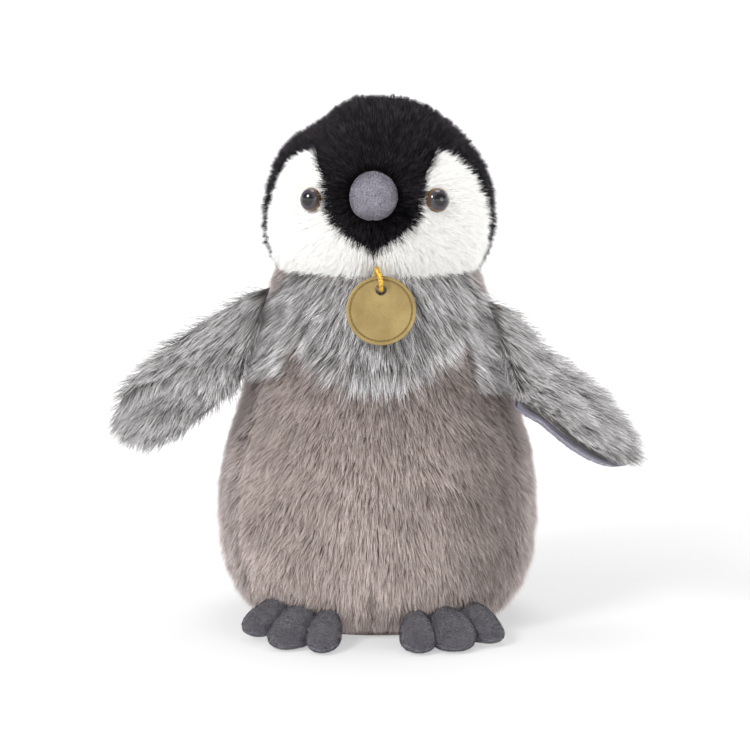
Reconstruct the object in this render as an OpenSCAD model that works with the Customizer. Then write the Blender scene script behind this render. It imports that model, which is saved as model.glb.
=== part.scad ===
// Plush penguin chick, standing, about 230 mm tall.
// Pile-fabric panels, filled with fibre, sewn around a weighted base pouch.
// Millimetres, +Z up, the face looks along -Y, the origin is on the floor
// under the middle of the toy.

/* [Body] */
// Height of the neck seam above the floor
neck_z = 155; // [150:1:160]
// Scale of the torso's width and depth
girth = 1.0; // [0.94:0.01:1.04]
// Thickness of the torso fabric with its pile
body_pile = 5.0; // [3.5:0.5:6]
// Height of the bib's lowest point
bib_low = 115; // [108:1:124]

/* [Head] */
// Half width of the head
head_a = 51.5; // [49:0.5:53]
// Half depth of the head
head_b = 49; // [46:0.5:51]
// Height of the head's widest level
head_z = 178; // [177:1:180]
// Rise of the crown above the widest level
head_up = 52.5; // [50:0.5:54]
// Turn of the head, in degrees
head_turn = 2.5; // [0:0.5:4]
// Thickness of the head fabric with its pile
head_pile = 4.4; // [4:0.1:5]
// Radius of the round beak
beak_r = 9.8; // [9:0.1:10]
// Length of the beak from its seam
beak_l = 22.5; // [18:0.5:24]
// Radius of the button eyes
eye_r = 5.0; // [4.5:0.1:5.2]

/* [Flippers] */
// Half width of a flipper
flip_w = 19; // [16:0.5:20]
// Half thickness of a flipper
flip_h = 7.5; // [6:0.5:8]
// Length of the left flipper
flip_len_l = 81.4; // [78:0.5:84]
// Length of the right flipper
flip_len_r = 83.5; // [80:0.5:87]

/* [Feet and tail] */
// Height of the toes
toe_h = 12.5; // [10:0.5:13]
// How far the tail reaches behind the middle
tail_y = 67.5; // [64:0.5:68]

/* [Tag] */
// Radius of the hanging disc
tag_r = 14.5; // [12:0.5:15]
// Thickness of the hanging disc
tag_t = 1.2; // [0.8:0.1:1.6]
// Diameter of the tag's cord
cord_d = 1.8; // [1.4:0.1:2]

/* [Hidden] */
$fn = 48;
seam = 0.15;          // half the gap left at each sewn seam
side_phi = 62;        // angle of the side seams, from the front
bib_phi = 50;         // half angle of the bib at the neck
head_dn = 46;         // drop of the head's lower ellipsoid

// Half width and half depth of the torso at each height
A_TAB = [[0, 50], [3, 54], [6, 57.5], [12, 63], [19, 66.8], [30, 70.5],
  [45, 72.5], [61, 71.5], [77, 68.5], [101, 62], [125, 55.5], [145, 49.5], [156, 46]];
B_TAB = [[0, 38], [3, 41.5], [6, 44.5], [12, 49], [19, 53], [30, 57.5],
  [45, 60.5], [61, 60.5], [77, 59], [101, 55], [125, 50.5], [145, 45.5], [156, 43]];

function body_pt(phi, z, off) =
  let(a = lookup(z, A_TAB) * girth - off, b = lookup(z, B_TAB) * girth - off)
  [a * sin(phi), -b * cos(phi), z];

function bib_z(phi) = bib_low + 36.5 * pow(phi / 53, 2);
function belly_top(phi) = min(neck_z - 0.3, bib_z(phi) - seam);

// Inner and outer edges of the white cheeks, as angles at each height
IN_TAB = [[167, 0.6], [169.5, 4.5], [173.5, 11.6], [179.5, 20.3], [187, 23.8],
  [198.5, 27.2], [208.5, 39.5], [212, 41], [231, 42]];
OUT_TAB = [[150, 77], [159, 75], [170, 72], [180, 70.5], [188, 69], [196, 65],
  [203, 59], [209.5, 44.5], [209.6, 40.4], [212, 41], [231, 42]];

function head_pt(phi, t, off) =
  let(rz = (t < 0 ? head_dn : head_up) - off)
  [(head_a - off) * cos(t) * sin(phi), -(head_b - off) * cos(t) * cos(phi),
   head_z + rz * sin(t)];
function head_level(t) = head_z + (t < 0 ? head_dn : head_up) * sin(t);
function head_t(z) = z < head_z ? asin((z - head_z) / head_dn) : asin((z - head_z) / head_up);

function lerp(a, b, u) = a + (b - a) * u;

// A soft, curved form cut as one surface, at its own size
module as_cut() resize([0, 0, 0]) children();

// A sewn panel: the sheet f(u, v, depth) between two depths, closed along its four edges
module panel(nu, nv, f, d0, d1) {
  n = (nu + 1) * (nv + 1);
  pts = concat(
    [for (i = [0:nu]) for (j = [0:nv]) f(i / nu, j / nv, d0)],
    [for (i = [0:nu]) for (j = [0:nv]) f(i / nu, j / nv, d1)]);
  k = function(i, j) i * (nv + 1) + j;
  faces = concat(
    [for (i = [0:nu - 1]) for (j = [0:nv - 1]) each [[k(i, j), k(i, j + 1), k(i + 1, j + 1)], [k(i, j), k(i + 1, j + 1), k(i + 1, j)]]],
    [for (i = [0:nu - 1]) for (j = [0:nv - 1]) each [[n + k(i, j), n + k(i + 1, j + 1), n + k(i, j + 1)], [n + k(i, j), n + k(i + 1, j), n + k(i + 1, j + 1)]]],
    [for (i = [0:nu - 1]) each [[k(i, 0), k(i + 1, 0), n + k(i + 1, 0)], [k(i, 0), n + k(i + 1, 0), n + k(i, 0)]]],
    [for (i = [0:nu - 1]) each [[k(i, nv), n + k(i + 1, nv), k(i + 1, nv)], [k(i, nv), n + k(i, nv), n + k(i + 1, nv)]]],
    [for (j = [0:nv - 1]) each [[k(0, j), n + k(0, j), n + k(0, j + 1)], [k(0, j), n + k(0, j + 1), k(0, j + 1)]]],
    [for (j = [0:nv - 1]) each [[k(nu, j), n + k(nu, j + 1), n + k(nu, j)], [k(nu, j), k(nu, j + 1), n + k(nu, j + 1)]]]);
  polyhedron(pts, faces, convexity = 6);
}

// A filled form: closed rings f(turn, v) stacked along v, with flat ends
module filled(nu, nv, f) {
  pts = [for (j = [0:nv]) for (i = [0:nu - 1]) f(i / nu, j / nv)];
  k = function(i, j) j * nu + (i % nu);
  faces = concat(
    [for (j = [0:nv - 1]) for (i = [0:nu - 1]) each [[k(i, j), k(i + 1, j + 1), k(i, j + 1)], [k(i, j), k(i + 1, j), k(i + 1, j + 1)]]],
    [[for (i = [nu - 1:-1:0]) i]],
    [[for (i = [0:nu - 1]) nv * nu + i]]);
  polyhedron(pts, faces, convexity = 4);
}

// ---------- torso ----------
module belly_panel() color([0.60, 0.545, 0.52]) 
  panel(20, 11, function(u, v, d)
    let(phi = lerp(-side_phi + seam, side_phi - seam, u))
    body_pt(phi, belly_top(phi) * pow(v, 1.35), d), 0, body_pile);

module back_panel(s) color([0.62, 0.57, 0.56])
  panel(15, 11, function(u, v, d)
    body_pt(lerp(s > 0 ? side_phi + seam : -180 + seam, s > 0 ? 180 - seam : -side_phi - seam, u),
      (neck_z - 0.3) * pow(v, 1.35), d), 0, body_pile);
module back_panel_left() back_panel(-1);
module back_panel_right() back_panel(1);

module bib_panel() color([0.56, 0.55, 0.54])
  panel(14, 5, function(u, v, d)
    let(phi = lerp(-bib_phi, bib_phi, u))
    body_pt(phi, lerp(bib_z(phi) + seam, neck_z - 0.3, v), d), 0, body_pile);

module base_panel() color([0.42, 0.38, 0.37])
  linear_extrude(2.2)
    polygon([for (i = [0:47]) let(p = body_pt(i * 7.5, 0, body_pile + 0.4)) [p[0], p[1]]]);

module body_stuffing() color([0.95, 0.95, 0.93])
  filled(32, 11, function(u, v)
    body_pt(-360 * u, lerp(21.5, neck_z - 0.3, v), body_pile + 0.75));

module pouch_form(d) filled(28, 4, function(u, v)
  body_pt(-360 * u, lerp(2.7 + d, 21 - d, v), body_pile + 1.6 + d + (v < 0.1 || v > 0.9 ? 2.5 : 0)));
module pellet_pouch() color([0.88, 0.87, 0.83])
  difference() { pouch_form(0); pouch_form(0.7); }
module pellet_fill() color([0.80, 0.80, 0.78]) pouch_form(0.9);

// ---------- head ----------
module turned() rotate([0, 0, -head_turn]) children();
t_neck = head_t(neck_z);
t_top = head_t(209.4);

// Eye frame: +Z looks out of the head along its surface normal
eye_x = 27.3;
eye_t = 12;
eye_phi = asin(eye_x / (head_a * cos(eye_t)));
module at_eye(s) {
  p = head_pt(s * eye_phi, eye_t, 0);
  g = [p[0] / pow(head_a, 2), p[1] / pow(head_b, 2), (p[2] - head_z) / pow(head_up, 2)];
  turned() translate(p) rotate([0, acos(g[2] / norm(g)), atan2(g[1], g[0])]) children();
}

beak_z = 191;
module at_beak() turned() translate([0, -43.6, beak_z]) rotate([90, 0, 0]) children();

module face_blaze_panel() color([0.07, 0.06, 0.06]) as_cut() difference() {
  turned() panel(10, 12, function(u, v, d)
    let(t = lerp(head_t(167.2), 88, v), e = max(0.35, lookup(head_level(t), IN_TAB) - 0.5))
    head_pt(lerp(-e, e, u), t, d), 0, head_pile);
  at_beak() translate([0, 0, -3]) cylinder(r = beak_r + 0.3, h = 40, $fn = 32);
}

module cheek_panel(s) color([0.96, 0.96, 0.94]) as_cut() difference() {
  turned() panel(8, 11, function(u, v, d)
    let(t = lerp(t_neck, t_top, v), z = head_level(t),
        e0 = z < 167 ? 0.25 : lookup(z, IN_TAB), e1 = lookup(z, OUT_TAB) - 0.3)
    head_pt(s > 0 ? lerp(e0, e1, u) : -lerp(e1, e0, u), t, d), 0, head_pile);
  at_eye(s) {
    translate([0, 0, -3.1]) cylinder(r = eye_r + 0.3, h = 12, $fn = 32);
    translate([0, 0, -9]) cylinder(r = 1.9, h = 12, $fn = 16);
  }
}
module cheek_panel_left() cheek_panel(-1);
module cheek_panel_right() cheek_panel(1);

module hood_panel(s) color([0.06, 0.055, 0.06])
  turned() panel(14, 12, function(u, v, d)
    let(t = lerp(t_neck, 88, v), e = lookup(head_level(t), OUT_TAB) + 0.2)
    head_pt(s > 0 ? lerp(e, 179.8, u) : -lerp(179.8, e, u), t, d), 0, head_pile);
module hood_panel_left() hood_panel(-1);
module hood_panel_right() hood_panel(1);

module head_stuffing() color([0.95, 0.95, 0.93]) as_cut() difference() {
  turned() filled(30, 12, function(u, v)
    head_pt(-360 * u, lerp(t_neck, 87, v), head_pile + 0.4));
  for (s = [-1, 1]) at_eye(s) {
    translate([0, 0, -7.6]) cylinder(r = 6.6, h = 8, $fn = 28);
    translate([0, 0, -14.4]) cylinder(r = 1.9, h = 10, $fn = 16);
  }
}

// Felt beak: a blunt dome, open at its seam
function beak_prof(r, l) = [for (i = [0:12]) let(q = i * 7.5) [r * pow(cos(q), 0.62), l * pow(sin(q), 1.15)]];
module beak_cover() color([0.55, 0.54, 0.585]) at_beak() difference() {
  rotate_extrude() polygon(concat([[0, 0]], beak_prof(beak_r, beak_l)));
  translate([0, 0, -0.01]) rotate_extrude() polygon(concat([[0, 0]], beak_prof(beak_r - 1.2, beak_l - 1.2)));
}
module beak_stuffing() color([0.95, 0.95, 0.93]) at_beak()
  rotate_extrude() polygon(concat([[0, 0]], beak_prof(beak_r - 1.4, beak_l - 1.4)));

// Domed button eye on a ribbed shank
module eye(s) color([0.10, 0.06, 0.04]) at_eye(s) {
  translate([0, 0, -3]) rotate_extrude() polygon(concat([[0, 0], [eye_r, 0]],
    [for (q = [0:10:90]) [eye_r * cos(q), 0.9 + 3.1 * sin(q)]]));
  translate([0, 0, -14]) cylinder(r = 1.5, h = 11.5);
  for (z = [-12.6, -11, -9.4]) translate([0, 0, z]) cylinder(r1 = 1.5, r2 = 1.75, h = 0.7);
}
module eye_left() eye(-1);
module eye_right() eye(1);

module eye_washer(s) color([0.92, 0.92, 0.90]) at_eye(s) translate([0, 0, -7.4]) difference() {
  union() { cylinder(r = 6.3, h = 1.2); cylinder(r = 3.2, h = 2.4); }
  translate([0, 0, -1]) cylinder(r = 1.56, h = 5);
}
module eye_washer_left() eye_washer(-1);
module eye_washer_right() eye_washer(1);

// ---------- flippers ----------
// Seam points: upper and lower end of each shoulder seam
function root_hi(s) = [s * 44.8, -20.2, s < 0 ? 151 : 147];
function root_lo(s) = [s * (s < 0 ? 56 : 57.6), -23.4, s < 0 ? 119 : 112];
flip_tilt = [38.5, 40.5];      // droop below level: left, right
flip_roll = [8, 44];       // roll of the fur side towards the top: left, right
seam_q = 166;              // the lower seam lies a little to the front of the edge
function unit(v) = v / norm(v);

// Point of a flipper: s side, c along its length 0 to 1, q angle round the section, shrink d
function flip_pt(s, c, q, d) =
  let(i = s < 0 ? 0 : 1, len = i == 0 ? flip_len_l : flip_len_r,
      m = (root_hi(s) + root_lo(s)) / 2,
      out = [s * cos(flip_tilt[i]), -0.05, -sin(flip_tilt[i])],
      dir = unit(out),
      r = flip_roll[i] * min(1, c * 2.2),
      up0 = unit(root_hi(s) - root_lo(s)),
      up1 = [s * sin(flip_tilt[i]), 0, cos(flip_tilt[i])],
      upm = unit(lerp(up0, up1, min(1, c * 3))),
      front = unit(-s * cross(upm, dir)),
      wv = cos(r) * upm - sin(r) * front,
      nv = cos(r) * front + sin(r) * upm,
      x = min(1, max(0, (c - 0.55) / 0.45)),
      w = (lerp(17.2, flip_w, min(1, c * 2.4)) * sqrt(max(0, 1 - pow(x, 2.4))) + 0.9) - d,
      h = max(0.3, lerp(1.9, flip_h, pow(min(1, c * 2.6), 0.8)) * sqrt(max(0.03, 1 - pow(x, 2.2))) - max(min(d, 0.8), 0.5 * d)),
      base = m + dir * (1.6 + (len - 1.6 - d) * c))
  base + wv * (w * cos(q)) + nv * (h * sin(q));

function flip_c(v) = v < 0.6 ? v : 0.6 + 0.4 * sin((v - 0.6) / 0.4 * 90);

module flipper_fur(s) color([0.60, 0.585, 0.575])
  panel(9, 13, function(u, v, d) flip_pt(s, flip_c(v), s > 0 ? lerp(3, seam_q - 3, u) : lerp(seam_q - 3, 3, u), d), 0, 1.4);
module flipper_lining(s) color([0.47, 0.455, 0.52])
  panel(9, 13, function(u, v, d) flip_pt(s, flip_c(v), s > 0 ? lerp(seam_q + 3, 357, u) : lerp(357, seam_q + 3, u), d), 0, 0.7);
module flipper_stuffing(s) color([0.95, 0.95, 0.93])
  filled(16, 12, function(u, v) flip_pt(s, flip_c(lerp(0.05, 0.9, v)), -s * 360 * u, 3.0));
module flipper_left_fur() flipper_fur(-1);
module flipper_left_lining() flipper_lining(-1);
module flipper_left_stuffing() flipper_stuffing(-1);
module flipper_right_fur() flipper_fur(1);
module flipper_right_lining() flipper_lining(1);
module flipper_right_stuffing() flipper_stuffing(1);

// ---------- feet ----------
// Toes: [x, y, heading in degrees from the front, half width, half length]
TOES_L = [[-22.6, -54.5, -3, 6.6, 13.0], [-37.1, -49.9, 14, 7.2, 12.1], [-51.0, -38.1, 42, 6.6, 10.9]];
TOES_R = [[17.4, -55.1, 2, 6.8, 12.4], [32.2, -53, -12, 7.2, 12.4], [45.8, -44, -34, 6.6, 11.3]];

// Surface of a toe, flat side down; d shrinks it
function toe_pt(t, u, v, d) =
  let(q = min(v, 0.975) * 90, c = pow(cos(q), 0.7),
      x = (t[3] - d) * c * sin(360 * u), y = (t[4] - d) * c * cos(360 * u))
  [t[0] + x * cos(t[2]) + y * sin(t[2]), t[1] - x * sin(t[2]) + y * cos(t[2]),
   1.4 + (toe_h - 1.4 - d) * pow(sin(q), 0.9)];

// A domed cover: two domes f(turn, v, depth) closed by a rim round the bottom
module cover(nu, nv, f, d0, d1) {
  n = nu * (nv + 1);
  pts = [for (d = [d0, d1]) for (j = [0:nv]) for (i = [0:nu - 1]) f(i / nu, j / nv, d)];
  k = function(i, j) j * nu + (i % nu);
  faces = concat(
    [for (j = [0:nv - 1]) for (i = [0:nu - 1]) each [[k(i, j), k(i + 1, j + 1), k(i, j + 1)], [k(i, j), k(i + 1, j), k(i + 1, j + 1)]]],
    [for (j = [0:nv - 1]) for (i = [0:nu - 1]) each [[n + k(i, j), n + k(i, j + 1), n + k(i + 1, j + 1)], [n + k(i, j), n + k(i + 1, j + 1), n + k(i + 1, j)]]],
    [for (i = [0:nu - 1]) each [[k(i, 0), n + k(i, 0), n + k(i + 1, 0)], [k(i, 0), n + k(i + 1, 0), k(i + 1, 0)]]],
    [[for (i = [0:nu - 1]) k(i, nv)]], [[for (i = [nu - 1:-1:0]) n + k(i, nv)]]);
  polyhedron(pts, faces, convexity = 6);
}

module foot_top(toes) color([0.36, 0.36, 0.42])
  for (t = toes) cover(14, 5, function(u, v, d) toe_pt(t, u, v, d), 0, 1.2);
module foot_sole(toes) color([0.30, 0.30, 0.35])
  for (t = toes) linear_extrude(1.3) polygon([for (i = [0:13]) let(p = toe_pt(t, -i / 14, 0, 0)) [p[0], p[1]]]);
module foot_stuffing(toes) color([0.95, 0.95, 0.93])
  for (t = toes) filled(14, 5, function(u, v) toe_pt(t, u, v, 1.5));
module foot_left_top() foot_top(TOES_L);
module foot_left_sole() foot_sole(TOES_L);
module foot_left_stuffing() foot_stuffing(TOES_L);
module foot_right_top() foot_top(TOES_R);
module foot_right_sole() foot_sole(TOES_R);
module foot_right_stuffing() foot_stuffing(TOES_R);

// ---------- tail ----------
function tail_pt(v, q, d) =
  let(x = min(1, max(0, (v - 0.35) / 0.65)), k = sqrt(max(0.012, 1 - x * x)))
  [(15.5 - d) * k * cos(q), lerp(57.4, tail_y - d * 0.8, v), 21 - 3 * v + (7.6 - d) * k * sin(q)];
module tail_cover() color([0.55, 0.50, 0.48])
  as_cut() difference() {
    filled(20, 7, function(u, v) tail_pt(sin(v * 90), 360 * u, 0));
    filled(20, 7, function(u, v) tail_pt(sin(v * 90), 360 * u, 2.4) - [0, 0.4 * (1 - v), 0]);
  }
module tail_stuffing() color([0.95, 0.95, 0.93])
  filled(20, 7, function(u, v) tail_pt(sin(v * 90), 360 * u, 2.7) + [0, 0.2 * (1 - v), 0]);

// ---------- hang tag ----------
tag_c = [1.2, -53.6, 144];
tag_lean = 14.5;
module tag_disc() color([0.78, 0.68, 0.46])
  translate(tag_c) rotate([90 - tag_lean, 0, 0]) difference() {
    translate([0, 0, -tag_t / 2]) cylinder(r = tag_r, h = tag_t, $fn = 96);
    translate([0, 8.6, -5]) cylinder(r = 2.2, h = 10);
    translate([0, 0, tag_t / 2 - 0.15]) difference() {
      cylinder(r = 13.1, h = 1);
      translate([0, 0, -1]) cylinder(r = 12.6, h = 3);
    }
  }

// The cord's route, from the neck seam over the disc's edge, through its hole and back
CORD = [[-0.8, -46.1, 157.2], [-0.8, -47.4, 159.2], [-0.7, -49.4, 160.8], [-0.4, -51.8, 161.2],
  [0.1, -53.8, 160.2], [0.7, -54.8, 158.4], [1.1, -54.8, 156.2], [1.2, -53.9, 154.0],
  [1.2, -52.4, 152.7], [1.2, -50.6, 152.2], [1.2, -48.8, 152.5], [1.2, -47.4, 153.7],
  [1.2, -46.6, 155.4], [1.1, -46.3, 157.2]];

module tag_cord() color([0.80, 0.62, 0.20]) {
  n = len(CORD) - 1;
  tan = [for (i = [0:n]) unit(CORD[min(n, i + 1)] - CORD[max(0, i - 1)])];
  pts = [for (i = [0:n]) let(a = [1, 0, 0] - tan[i] * (tan[i] * [1, 0, 0]), ua = unit(a), ub = cross(tan[i], ua))
    for (j = [0:7]) CORD[i] + cord_d / 2 * (ua * cos(j * 45) + ub * sin(j * 45))];
  faces = concat(
    [for (i = [0:n - 1]) for (j = [0:7]) each [[i * 8 + j, i * 8 + 8 + (j + 1) % 8, i * 8 + (j + 1) % 8], [i * 8 + j, i * 8 + 8 + j, i * 8 + 8 + (j + 1) % 8]]],
    [[for (j = [0:7]) j]],
    [[for (j = [7:-1:0]) n * 8 + j]]);
  polyhedron(pts, faces, convexity = 4);
}

// ---------- care label, blank, sewn beside the back seam ----------
module care_label() color([0.95, 0.95, 0.93])
  translate([-1, 61.3, 30]) rotate([0, 0, 8]) translate([-20, 0, 0]) cube([20, 0.4, 30]);

belly_panel();
back_panel_left();
back_panel_right();
bib_panel();
base_panel();
body_stuffing();
pellet_pouch();
pellet_fill();
face_blaze_panel();
cheek_panel_left();
cheek_panel_right();
hood_panel_left();
hood_panel_right();
head_stuffing();
beak_cover();
beak_stuffing();
eye_left();
eye_right();
eye_washer_left();
eye_washer_right();
flipper_left_fur();
flipper_left_lining();
flipper_left_stuffing();
flipper_right_fur();
flipper_right_lining();
flipper_right_stuffing();
foot_left_top();
foot_left_sole();
foot_left_stuffing();
foot_right_top();
foot_right_sole();
foot_right_stuffing();
tail_cover();
tail_stuffing();
tag_disc();
tag_cord();
care_label();
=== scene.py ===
# A plush penguin chick, 230 mm tall: pile fabrics built as real strands over padded skins.
import math
import bpy
import numpy as np
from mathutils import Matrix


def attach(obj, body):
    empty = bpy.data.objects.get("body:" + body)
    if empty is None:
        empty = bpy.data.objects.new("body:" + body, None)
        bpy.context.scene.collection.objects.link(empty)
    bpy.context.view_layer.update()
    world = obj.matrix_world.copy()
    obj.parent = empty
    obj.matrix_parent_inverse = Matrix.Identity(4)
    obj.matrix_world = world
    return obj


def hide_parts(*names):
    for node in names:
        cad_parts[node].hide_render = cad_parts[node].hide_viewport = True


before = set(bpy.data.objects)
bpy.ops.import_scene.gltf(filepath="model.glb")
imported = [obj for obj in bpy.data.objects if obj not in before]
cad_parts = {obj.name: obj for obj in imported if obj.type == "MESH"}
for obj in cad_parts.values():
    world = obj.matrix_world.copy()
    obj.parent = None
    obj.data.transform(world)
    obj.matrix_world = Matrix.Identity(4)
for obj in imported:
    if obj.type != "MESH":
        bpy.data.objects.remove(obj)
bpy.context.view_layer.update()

MM = 0.001
RNG = np.random.default_rng(20261)
scene = bpy.context.scene
scene.view_settings.view_transform = "Standard"
scene.view_settings.look = "None"


def srgb(r, g, b):
    def f(c):
        c /= 255.0
        return c / 12.92 if c <= 0.04045 else ((c + 0.055) / 1.055) ** 2.4
    return (f(r), f(g), f(b), 1.0)


def unit(v):
    return v / np.maximum(np.linalg.norm(v, axis=-1, keepdims=True), 1e-12)


def smooth(x, a, b):
    t = np.clip((x - a) / (b - a), 0, 1)
    return t * t * (3 - 2 * t)


def link(obj):
    scene.collection.objects.link(obj)
    return obj


# ------------------------------------------------------------------ camera
cam_data = bpy.data.cameras.new("camera")
cam_data.lens = 110.5
cam_data.sensor_width = 36
cam_data.clip_end = 100
cam = link(bpy.data.objects.new("camera", cam_data))
cam.location = (-0.0013, -1.0, 0.270)
cam.rotation_euler = (math.radians(90 - 9.185), 0, 0)
scene.camera = cam


# ------------------------------------------------------------------ node helpers
def new_mat(name, base=(0.5, 0.5, 0.5, 1), rough=0.8, sheen=0.0, sheen_rough=0.4, spec=0.3, metallic=0.0,
            coat=0.0, coat_rough=0.05, sheen_tint=None):
    m = bpy.data.materials.new(name)
    m.use_nodes = True
    p = m.node_tree.nodes["Principled BSDF"]
    p.inputs["Base Color"].default_value = base
    p.inputs["Roughness"].default_value = rough
    p.inputs["Sheen Weight"].default_value = sheen
    p.inputs["Sheen Roughness"].default_value = sheen_rough
    if sheen_tint:
        p.inputs["Sheen Tint"].default_value = sheen_tint
    p.inputs["Specular IOR Level"].default_value = spec
    p.inputs["Metallic"].default_value = metallic
    p.inputs["Coat Weight"].default_value = coat
    p.inputs["Coat Roughness"].default_value = coat_rough
    return m


def node(m, kind, **inputs):
    n = m.node_tree.nodes.new(kind)
    for k, v in inputs.items():
        n.inputs[k.replace("_", " ")].default_value = v
    return n


def wire(m, a, b):
    m.node_tree.links.new(a, b)


def shader(m):
    return m.node_tree.nodes["Principled BSDF"]


def ramp(m, fac, stops):
    r = m.node_tree.nodes.new("ShaderNodeValToRGB")
    e = r.color_ramp.elements
    while len(e) < len(stops):
        e.new(0.5)
    for k, (pos, col) in enumerate(stops):
        e[k].position = pos
        e[k].color = col
    wire(m, fac, r.inputs["Fac"])
    return r.outputs["Color"]


def noise(m, scale, detail=3.0, rough=0.55, coords="Object", stretch=None):
    tc = m.node_tree.nodes.new("ShaderNodeTexCoord")
    n = node(m, "ShaderNodeTexNoise", Scale=scale, Detail=detail, Roughness=rough)
    if stretch:
        mp = m.node_tree.nodes.new("ShaderNodeMapping")
        mp.inputs["Scale"].default_value = stretch
        wire(m, tc.outputs[coords], mp.inputs["Vector"])
        wire(m, mp.outputs["Vector"], n.inputs["Vector"])
    else:
        wire(m, tc.outputs[coords], n.inputs["Vector"])
    return n.outputs["Fac"]


def bump(m, height, distance, strength=1.0):
    b = node(m, "ShaderNodeBump", Distance=distance, Strength=strength)
    wire(m, height, b.inputs["Height"])
    wire(m, b.outputs["Normal"], shader(m).inputs["Normal"])
    return b


def add_math(m, a, b, op="ADD", k=None):
    n = m.node_tree.nodes.new("ShaderNodeMath")
    n.operation = op
    wire(m, a, n.inputs[0])
    if k is None:
        wire(m, b, n.inputs[1])
    else:
        n.inputs[1].default_value = k
    return n.outputs[0]


COLS = 48


def pile_mat(name, root, mid, tip, rough=0.62, sheen=0.25, spread=0.30, warm=0.0, spec=0.25, midpos=0.5):
    """Pile strands: UV v runs from root to tip, UV u picks each strand's own tone."""
    m = new_mat(name, mid, rough, sheen, 0.45, spec)
    uv = m.node_tree.nodes.new("ShaderNodeUVMap")
    uv.uv_map = "OFBake"
    sep = m.node_tree.nodes.new("ShaderNodeSeparateXYZ")
    wire(m, uv.outputs["UV"], sep.inputs["Vector"])
    col = ramp(m, sep.outputs["Y"], [(0.0, root), (midpos, mid), (1.0, tip)])
    mr = node(m, "ShaderNodeMapRange")
    mr.inputs["To Min"].default_value = 1.0 - spread
    mr.inputs["To Max"].default_value = 1.0 + spread
    wire(m, sep.outputs["X"], mr.inputs["Value"])
    hsv = m.node_tree.nodes.new("ShaderNodeHueSaturation")
    wire(m, col, hsv.inputs["Color"])
    wire(m, mr.outputs["Result"], hsv.inputs["Value"])
    wire(m, hsv.outputs["Color"], shader(m).inputs["Base Color"])
    return m


def cloth_mat(name, dark, light, scale=900.0, rough=0.85, sheen=0.3, bumpd=0.0003, blotch=60.0, spec=0.2):
    """A knitted or brushed fabric: fine grain over soft blotches, with bump from the same grain."""
    m = new_mat(name, light, rough, sheen, 0.5, spec)
    fine = noise(m, scale, 4.0, 0.6)
    big = noise(m, blotch, 2.0, 0.5)
    s = add_math(m, add_math(m, fine, None, "MULTIPLY", 0.6), add_math(m, big, None, "MULTIPLY", 0.4))
    col = ramp(m, s, [(0.36, dark), (0.64, light)])
    wire(m, col, shader(m).inputs["Base Color"])
    rr = node(m, "ShaderNodeMapRange")
    rr.inputs["To Min"].default_value = rough - 0.08
    rr.inputs["To Max"].default_value = min(1.0, rough + 0.1)
    wire(m, fine, rr.inputs["Value"])
    wire(m, rr.outputs["Result"], shader(m).inputs["Roughness"])
    bump(m, fine, bumpd)
    return m


# ------------------------------------------------------------------ mesh helpers
def mesh_object(name, verts, faces, mats, face_mat=None, smooth_faces=True, uv=None):
    me = bpy.data.meshes.new(name)
    me.from_pydata([tuple(v) for v in np.asarray(verts)], [], [tuple(int(i) for i in f) for f in faces])
    for mt in mats:
        me.materials.append(mt)
    if face_mat is not None:
        me.polygons.foreach_set("material_index", np.asarray(face_mat, np.int32))
    me.polygons.foreach_set("use_smooth", np.full(len(me.polygons), smooth_faces))
    if uv is not None:
        layer = me.uv_layers.new(name="OFBake")
        idx = np.zeros(len(me.loops), np.int32)
        me.loops.foreach_get("vertex_index", idx)
        layer.data.foreach_set("uv", np.asarray(uv, np.float32)[idx].ravel())
    me.update()
    return link(bpy.data.objects.new(name, me))


def nrm(v):
    return v / np.linalg.norm(v)


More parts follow.
